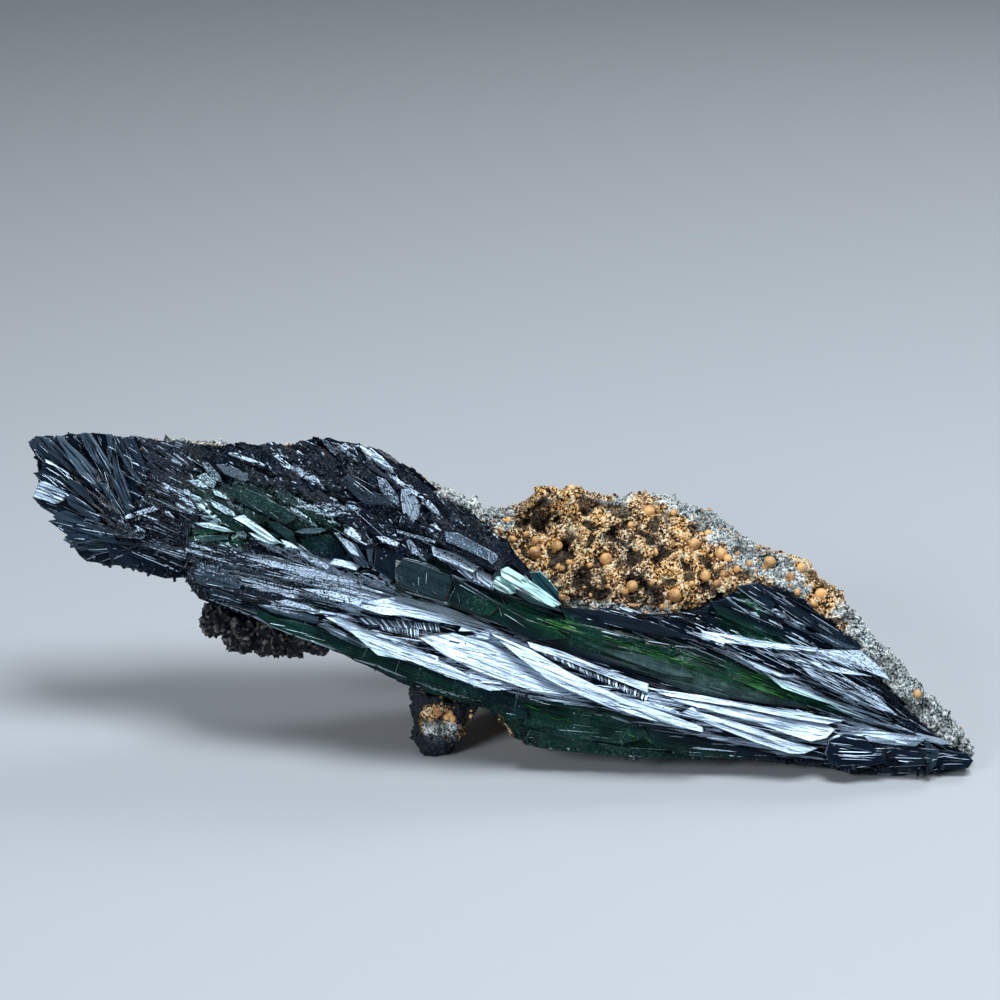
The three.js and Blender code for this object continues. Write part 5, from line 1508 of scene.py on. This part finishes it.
class VIVIANITE_OT_place_lone_crystals(bpy.types.Operator):
    """Place the two stout crystals that lie across the ridge"""

    bl_idname = "vivianite.place_lone_crystals"
    bl_label = "Lone crystals"

    def execute(self, context):
        teal = teal_finish(context.scene.vivianite_crystal)
        kinds = (
            ("short_prism", bpy.data.materials["dark_crystal"], "vivianite"),
            ("teal_blade", teal, "teal_vivianite"),
        )
        for node, glass, slot in kinds:
            points, triangles, _ = node_mesh(node)
            tree = tree_of(points, triangles)
            crystals = Crystals()
            lay_plates(crystals, node, tree, np.random.default_rng(len(node)))
            draw_lines(crystals, node, tree)
            base = points - [0, 0, LONE_SUNK]
            mesh = crystals.mesh(node, base, triangles, LONE_GRAIN)
            mesh.materials.append(glass)
            finish_piece(mesh, node + "_crystal", [node])
        return {"FINISHED"}


# ---------- rock


def remeshed(node, voxel):
    """A merged copy of a frame node, as one fine and even skin."""
    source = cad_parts[node]
    copy = bpy.data.objects.new(node + "_carving", source.data.copy())
    bpy.context.scene.collection.objects.link(copy)
    weld = copy.modifiers.new("weld", "WELD")
    weld.merge_threshold = 1e-6
    remesh = copy.modifiers.new("remesh", "REMESH")
    remesh.mode = "VOXEL"
    remesh.voxel_size = voxel
    graph = bpy.context.evaluated_depsgraph_get()
    mesh = bpy.data.meshes.new_from_object(copy.evaluated_get(graph))
    bpy.data.objects.remove(copy)
    return mesh


NOISE_SEED = 3  # for the noise that warps the relief
# Features of the ironstone's relief: size, and how far each one stands out or in.
SWELL, WARP, LUMP, CRUMB, PIT = (8.0, 0.9), (2.6, 1.1), (2.1, 1.1), (0.95, 0.7), (2.6, 2.8)
HOLLOW_RIM = (0.9, 0.75)  # size and share of the wobble of a hollow's rim
BACK = -16  # mm of w, behind which the rock is its plain back
PATCH_WOBBLE = 5  # mm, size and reach of the wobble of the patches' far ends
CRUST_STEP = 0.28 * MM  # size of the dark crust's smallest facet
KNOB_WARP, KNOB, KNOB_BUMP = (1.7, 1.6), (2.0, 0.6), (1.3, 0.75)  # as for the ironstone
RIM_SHARPNESS = 9


def carve(mesh, carved):
    """Moves each vertex along its normal by carved(place in mm), and returns what it noted."""
    noise.seed_set(NOISE_SEED)
    places, normals = vertex_places(mesh), np.empty(len(mesh.vertices) * 3)
    mesh.vertex_normals.foreach_get("vector", normals)
    moved = np.array([carved(Vector(p)) for p in places / MM])
    move_vertices(mesh, places + normals.reshape(-1, 3) * moved[:, :1] * MM)
    return moved[:, 1]


def rock_relief(place):
    """How far the ironstone stands out at a place in mm, and how much painted pit shade it gets."""
    swell = noise.fractal(place / SWELL[0], 1.0, 2.1, 3)
    warped = place + WARP[1] * noise.noise_vector(place / WARP[0])
    lump = noise.voronoi(warped / LUMP[0])[0][0]
    crumb = noise.voronoi(warped / CRUMB[0] + Vector((9, 2, 5)))[0][0]
    pit = max(0.0, noise.noise(warped / PIT[0] + Vector((40, 7, 3))) - 0.14)
    out = SWELL[1] * swell + LUMP[1] * (0.5 - lump) + CRUMB[1] * (0.5 - crumb) - PIT[1] * pit
    return out, min(1.0, 3.0 * pit + max(0.0, 0.9 * lump + 0.7 * crumb - 0.45))


def hollowed(places, pits):
    """The rock's points in the face frame with the hollows pressed in, and painted pit shade there.
    """
    face = to_face(places)
    size, wobble = HOLLOW_RIM
    ragged = 1 + wobble * np.array([noise.noise(Vector(p) / size) for p in face])
    for u, v, radius, depth in HOLLOWS:
        far = np.hypot(face[:, 0] - u, face[:, 1] - v) / radius * ragged
        press = np.exp(-(far**4)) * (face[:, 2] > BACK)
        face[:, 2] -= depth * press
        pits = np.maximum(pits, 0.95 * press)
    return face, pits


class VIVIANITE_OT_carve_ironstone(bpy.types.Operator):
    """Carve the ironstone block"""

    bl_idname = "vivianite.carve_ironstone"
    bl_label = "Ironstone"

    def execute(self, context):
        settings = context.scene.vivianite_rock
        mesh = remeshed("ironstone_block", settings.voxel)
        pits = carve(mesh, rock_relief)
        face, pits = hollowed(vertex_places(mesh), pits)
        move_vertices(mesh, to_frame(face))
        wobble = [PATCH_WOBBLE * noise.noise(Vector(p) / PATCH_WOBBLE) for p in face]
        inside = face[:, 2] + np.interp(face[:, 0], *PATCH_DEPTH) + np.array(wobble)
        near = np.clip(inside / PATCH_FADE, 0, 1)
        # The pits' share, which the rock's finish paints as shade:
        add_share(mesh, "pit", pits)
        add_share(mesh, "crust", covered(face, PALE_PATCHES) * near)
        # Dark stains, and painted shade round the foot:
        add_share(mesh, "stain_and_shade", covered(face, DARK_PATCHES) * near)
        coat(mesh, rock_finish(settings))
        finish_piece(mesh, "ironstone", ["ironstone_block"])
        return {"FINISHED"}


def crust_relief(place):
    """Knobs with sharp rims, and how near a place is to a rim."""
    warped = place + KNOB_WARP[1] * noise.noise_vector(place / KNOB_WARP[0])
    far = noise.voronoi(warped / KNOB[0])[0]
    rim = max(0.0, 1 - RIM_SHARPNESS * (far[1] - far[0]))
    bumps = noise.fractal(place / KNOB_BUMP[0], 1.0, 2.0, 3)
    return KNOB[1] * rim + KNOB_BUMP[1] * bumps, rim


class VIVIANITE_OT_form_crust(bpy.types.Operator):
    """Form the dark knobbly crust under the main spray"""

    bl_idname = "vivianite.form_crust"
    bl_label = "Dark crust"

    def execute(self, context):
        mesh = remeshed("dark_crust", CRUST_STEP)
        add_share(mesh, "edge", carve(mesh, crust_relief))
        coat(mesh, crust_finish(context.scene.vivianite_crystal))
        finish_piece(mesh, "crust", ["dark_crust"])
        return {"FINISHED"}


# ---------- ooids


SCATTER_INPUTS = {
    "Surface": "Geometry", "Spacing": "Float", "Radius": "Float", "Density": "Float",
    "Seed": "Int", "Share": "String", "Roundness": "Int", "Smooth": "Bool",
    "Material": "Material",
}
# Nodes of the scattering tree: name and kind.
SCATTER_NODES = {
    "in": "NodeGroupInput", "out": "NodeGroupOutput", "share": "GeometryNodeInputNamedAttribute",
    "spread": "GeometryNodeDistributePointsOnFaces", "ball": "GeometryNodeMeshIcoSphere",
    "smooth": "GeometryNodeSetShadeSmooth", "size": "FunctionNodeRandomValue",
    "turn": "FunctionNodeRandomValue", "place": "GeometryNodeInstanceOnPoints",
    "realize": "GeometryNodeRealizeInstances", "paint": "GeometryNodeSetMaterial",
}
# Its links: node, output, node, input.
SCATTER_LINKS = (
    ("in", "Surface", "spread", "Mesh"), ("in", "Spacing", "spread", "Distance Min"),
    ("in", "Density", "spread", "Density Max"), ("in", "Seed", "spread", "Seed"),
    ("in", "Share", "share", "Name"), ("share", "Attribute", "spread", "Density Factor"),
    ("in", "Radius", "ball", "Radius"), ("in", "Roundness", "ball", "Subdivisions"),
    ("ball", "Mesh", "smooth", "Geometry"), ("in", "Smooth", "smooth", "Shade Smooth"),
    ("smooth", "Geometry", "place", "Instance"), ("spread", "Points", "place", "Points"),
    ("turn", "Value", "place", "Rotation"), ("size", "Value", "place", "Scale"),
    ("place", "Instances", "realize", "Geometry"), ("realize", "Geometry", "paint", "Geometry"),
    ("in", "Material", "paint", "Material"), ("paint", "Geometry", "out", "Grains"),
)


def scatter_tree(name):
    """A Geometry Nodes tree that sets round grains on a surface where a density allows."""
    tree = bpy.data.node_groups.new(name, "GeometryNodeTree")
    for socket, kind in SCATTER_INPUTS.items():
        tree.interface.new_socket(socket, in_out="INPUT", socket_type="NodeSocket" + kind)
    tree.interface.new_socket("Grains", in_out="OUTPUT", socket_type="NodeSocketGeometry")
    nodes = {key: tree.nodes.new(kind) for key, kind in SCATTER_NODES.items()}
    nodes["spread"].distribute_method = "POISSON"
    nodes["share"].data_type = "FLOAT"
    for key, low, high in (
        ("size", (0.45, 0.45, 0.4), (1.15, 1.05, 0.95)), ("turn", (0, 0, 0), (math.tau,) * 3),
    ):
        nodes[key].data_type = "FLOAT_VECTOR"
        nodes[key].inputs["Min"].default_value = low
        nodes[key].inputs["Max"].default_value = high
    for start, output, end, socket in SCATTER_LINKS:
        tree.links.new(nodes[start].outputs[output], nodes[end].inputs[socket])
    return tree


def scatter(tree, surface, name, **values):
    """Runs a scattering tree on a copy of a surface, and returns the plain mesh of grains."""
    holder = bpy.data.objects.new(name + "_holder", surface.data)
    bpy.context.scene.collection.objects.link(holder)
    modifier = holder.modifiers.new("scatter", "NODES")
    modifier.node_group = tree
    for item in tree.interface.items_tree:
        if item.in_out == "INPUT" and item.name in values:
            modifier[item.identifier] = values[item.name]
    graph = bpy.context.evaluated_depsgraph_get()
    mesh = bpy.data.meshes.new_from_object(holder.evaluated_get(graph))
    bpy.data.objects.remove(holder)
    mesh.name = name
    move_vertices(mesh, vertex_places(mesh))
    return mesh


# Pieces scattered on the rock: the share that thins them out, then spacing and radius in mm,
# roundness, most a square metre, seed, and whether they are balls or rock.
SCATTERED = {
    "ooids": ("grains", 1.9, 0.62, 2, 200000.0, 4, "ooid"),
    "grains": ("grains", 1.1, 0.34, 2, 600000.0, 9, "ooid"),
    "crumbs": ("crumbs", 1.0, 0.5, 1, 3000000.0, 5, "ironstone"),
    "grit": ("grit", 0.64, 0.31, 1, 9000000.0, 6, "ironstone"),
}
SEAT = 0.35  # share of its radius that a small ball's middle stands out
DENTS = 0.06  # how uneven a large ooid is, as a share of its radius


def unit_ball(subdivisions):
    """Points and faces of a ball of radius 1."""
    bpy.ops.mesh.primitive_ico_sphere_add(subdivisions=subdivisions + 1, radius=1)
    ball = bpy.context.object
    points = np.array([tuple(v.co) for v in ball.data.vertices])
    faces = [tuple(p.vertices) for p in ball.data.polygons]
    bpy.data.meshes.remove(ball.data)
    return points, faces


def scatter_grains(rock, face, paints):
    """The ooids, grains, crumbs and grit that cover the rock."""
    behind = face[:, 2] < BACK
    crowded = np.where(behind, 0.25, 0.03 + 0.95 * covered(face, GRAIN_PATCHES))
    add_share(rock.data, "grains", crowded)
    add_share(rock.data, "crumbs", np.where(behind, 0.6, 0.8))
    add_share(rock.data, "grit", np.clip((face[:, 2] + 13) / 5, 0.02, 1))
    tree = scatter_tree("grain_scatter")
    for name, (share, spacing, radius, roundness, density, seed, slot) in SCATTERED.items():
        mesh = scatter(
            tree, rock, name, Spacing=spacing * MM, Radius=radius * MM, Density=density,
            Seed=seed, Roundness=roundness, Share=share, Material=paints[slot],
            Smooth=roundness > 1,
        )
        finish_piece(mesh, name)


def set_small_balls(rock, face, paint):
    """The small balls of the table, each on the skin of the rock, as one piece."""
    skin = tree_of(face, [p.vertices for p in rock.data.polygons])
    mesh = bpy.data.meshes.new("small_balls")
    points, faces = [], []
    ball_points, ball_faces = unit_ball(2)
    for u, v, radius in BALLS:
        at = under(skin, u, v)[0]
        if at is None:
            continue
        start = len(points)
        centre = np.array(at) + [0, 0, SEAT * radius]
        points += to_frame(ball_points * radius + centre).tolist()
        faces += [tuple(i + start for i in f) for f in ball_faces]
    mesh.from_pydata(points, [], faces)
    coat(mesh, paint)
    finish_piece(mesh, "small_balls")


def set_large_ooid(node, paint):
    """A slightly uneven ball in the place of one of the frame's ooids."""
    low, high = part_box(node)
    centre, radius = (low + high) / 2, (high - low).length / 2 / math.sqrt(3)
    bpy.ops.mesh.primitive_ico_sphere_add(subdivisions=3, radius=radius)
    ball = bpy.context.object
    mesh = ball.data
    bpy.data.objects.remove(ball)
    for vertex in mesh.vertices:
        dent = DENTS * radius * noise.noise(vertex.co / radius * 2 + centre / radius)
        vertex.co = vertex.co + vertex.co.normalized() * dent + centre
    coat(mesh, paint)
    finish_piece(mesh, "large_" + node, [node])


class VIVIANITE_OT_set_ooids(bpy.types.Operator):
    """Set the round ooids and the fine grains in the ironstone"""

    bl_idname = "vivianite.set_ooids"
    bl_label = "Ooids and grains"

    def execute(self, context):
        rock = bpy.data.objects["ironstone"]
        face = to_face(vertex_places(rock.data))
        paint = ooid_finish(context.scene.vivianite_rock)
        scatter_grains(rock, face, {"ooid": paint, "ironstone": rock.data.materials[0]})
        set_small_balls(rock, face, paint)
        for node in sorted(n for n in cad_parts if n.startswith("ooid_")):
            set_large_ooid(node, paint)
        return {"FINISHED"}


# ---------- stage


TABLE_HALF = 3.0  # metres
# Soft lamps: direction from the specimen, distance and side in metres, and power in watts.
LAMPS = {
    "overhead": ((0.18, -0.27, 0.95), 0.62, 0.28, 3.8),
    "from_behind": ((0.55, 0.6, 0.8), 0.8, 0.3, 1.8),
    "front_fill": ((-0.7, -0.8, 0.5), 1.1, 0.3, 5.5),
}
LAMP_COLOUR = (0.88, 0.95, 1.0)
LAMP_TARGET = (0, 0, 0.02)
PICTURE_WIDTH = 153.0  # mm across the picture at the specimen
PICTURE_RISE = 15.3  # mm from the face frame's origin up to the picture's middle
SENSOR = 36.0  # mm


def place_aimed(name, data, place, target):
    """A lamp or a camera at a place, turned to look at a target."""
    holder = bpy.data.objects.new(name, data)
    bpy.context.scene.collection.objects.link(holder)
    holder.location = place
    way = Vector(target) - Vector(place)
    holder.rotation_euler = way.to_track_quat("-Z", "Y").to_euler()
    return holder


def lay_table(paint):
    half = TABLE_HALF
    mesh = bpy.data.meshes.new("table")
    corners = [(-half, -half, 0), (half, -half, 0), (half, half, 0), (-half, half, 0)]
    mesh.from_pydata(corners, [], [(0, 1, 2, 3)])
    mesh.materials.append(paint)
    table = bpy.data.objects.new("table", mesh)
    bpy.context.scene.collection.objects.link(table)


def hang_lamps():
    for name, (direction, distance, side, power) in LAMPS.items():
        lamp = bpy.data.lights.new(name, "AREA")
        lamp.energy = power
        lamp.color = LAMP_COLOUR
        lamp.size = side
        place_aimed(name, lamp, Vector(direction).normalized() * distance, LAMP_TARGET)


def light_room(colour, strength):
    world = bpy.data.worlds.new("room")
    world.use_nodes = True
    background = world.node_tree.nodes["Background"]
    background.inputs["Color"].default_value = (*colour, 1)
    background.inputs["Strength"].default_value = strength
    bpy.context.scene.world = world


def set_camera(lens):
    """A camera that looks square at the crystal face, as far off as its lens asks for."""
    camera = bpy.data.cameras.new("camera")
    camera.lens = lens
    camera.sensor_width = SENSOR
    camera.clip_start = 0.01
    distance = PICTURE_WIDTH * lens / SENSOR
    place, target = to_frame([0, PICTURE_RISE, distance]), to_frame([0, PICTURE_RISE, 0])
    bpy.context.scene.camera = place_aimed("camera", camera, place, target)


class VIVIANITE_OT_set_stage(bpy.types.Operator):
    """Set the table, the lamps and the camera"""

    bl_idname = "vivianite.set_stage"
    bl_label = "Stage"

    def execute(self, context):
        settings = context.scene.vivianite_stage
        lay_table(Finish("table").surface(Base_Color=settings.table, Roughness=0.6))
        hang_lamps()
        light_room(settings.room, settings.glow)
        set_camera(settings.lens)
        context.scene.view_settings.view_transform = "Standard"
        return {"FINISHED"}


# ---------- panel


STEPS = (
    VIVIANITE_OT_carve_ironstone,
    VIVIANITE_OT_form_crust,
    VIVIANITE_OT_set_ooids,
    VIVIANITE_OT_grow_sprays,
    VIVIANITE_OT_place_lone_crystals,
    VIVIANITE_OT_set_stage,
)


class VIVIANITE_PT_panel(bpy.types.Panel):
    """The specimen's settings and steps"""

    bl_idname = "VIVIANITE_PT_panel"
    bl_label = "Vivianite specimen"
    bl_space_type = "VIEW_3D"
    bl_region_type = "UI"
    bl_category = "Vivianite"

    def draw(self, context):
        layout = self.layout
        for key in SETTINGS:
            group = getattr(context.scene, key)
            for name in group.__annotations__:
                layout.prop(group, name)
        for step in STEPS:
            layout.operator(step.bl_idname)


SETTINGS = {
    "vivianite_crystal": CrystalSettings,
    "vivianite_rock": RockSettings,
    "vivianite_stage": StageSettings,
}


def register():
    for group in (*SETTINGS.values(), *STEPS, VIVIANITE_PT_panel):
        bpy.utils.register_class(group)
    for key, group in SETTINGS.items():
        setattr(bpy.types.Scene, key, bpy.props.PointerProperty(type=group))


def unregister():
    for key in SETTINGS:
        delattr(bpy.types.Scene, key)
    for group in reversed((*SETTINGS.values(), *STEPS, VIVIANITE_PT_panel)):
        bpy.utils.unregister_class(group)


def main():
    register()
    bpy.ops.vivianite.carve_ironstone()
    bpy.ops.vivianite.form_crust()
    bpy.ops.vivianite.set_ooids()
    bpy.ops.vivianite.grow_sprays()
    bpy.ops.vivianite.place_lone_crystals()
    bpy.ops.vivianite.set_stage()


if __name__ == "__main__":
    main()
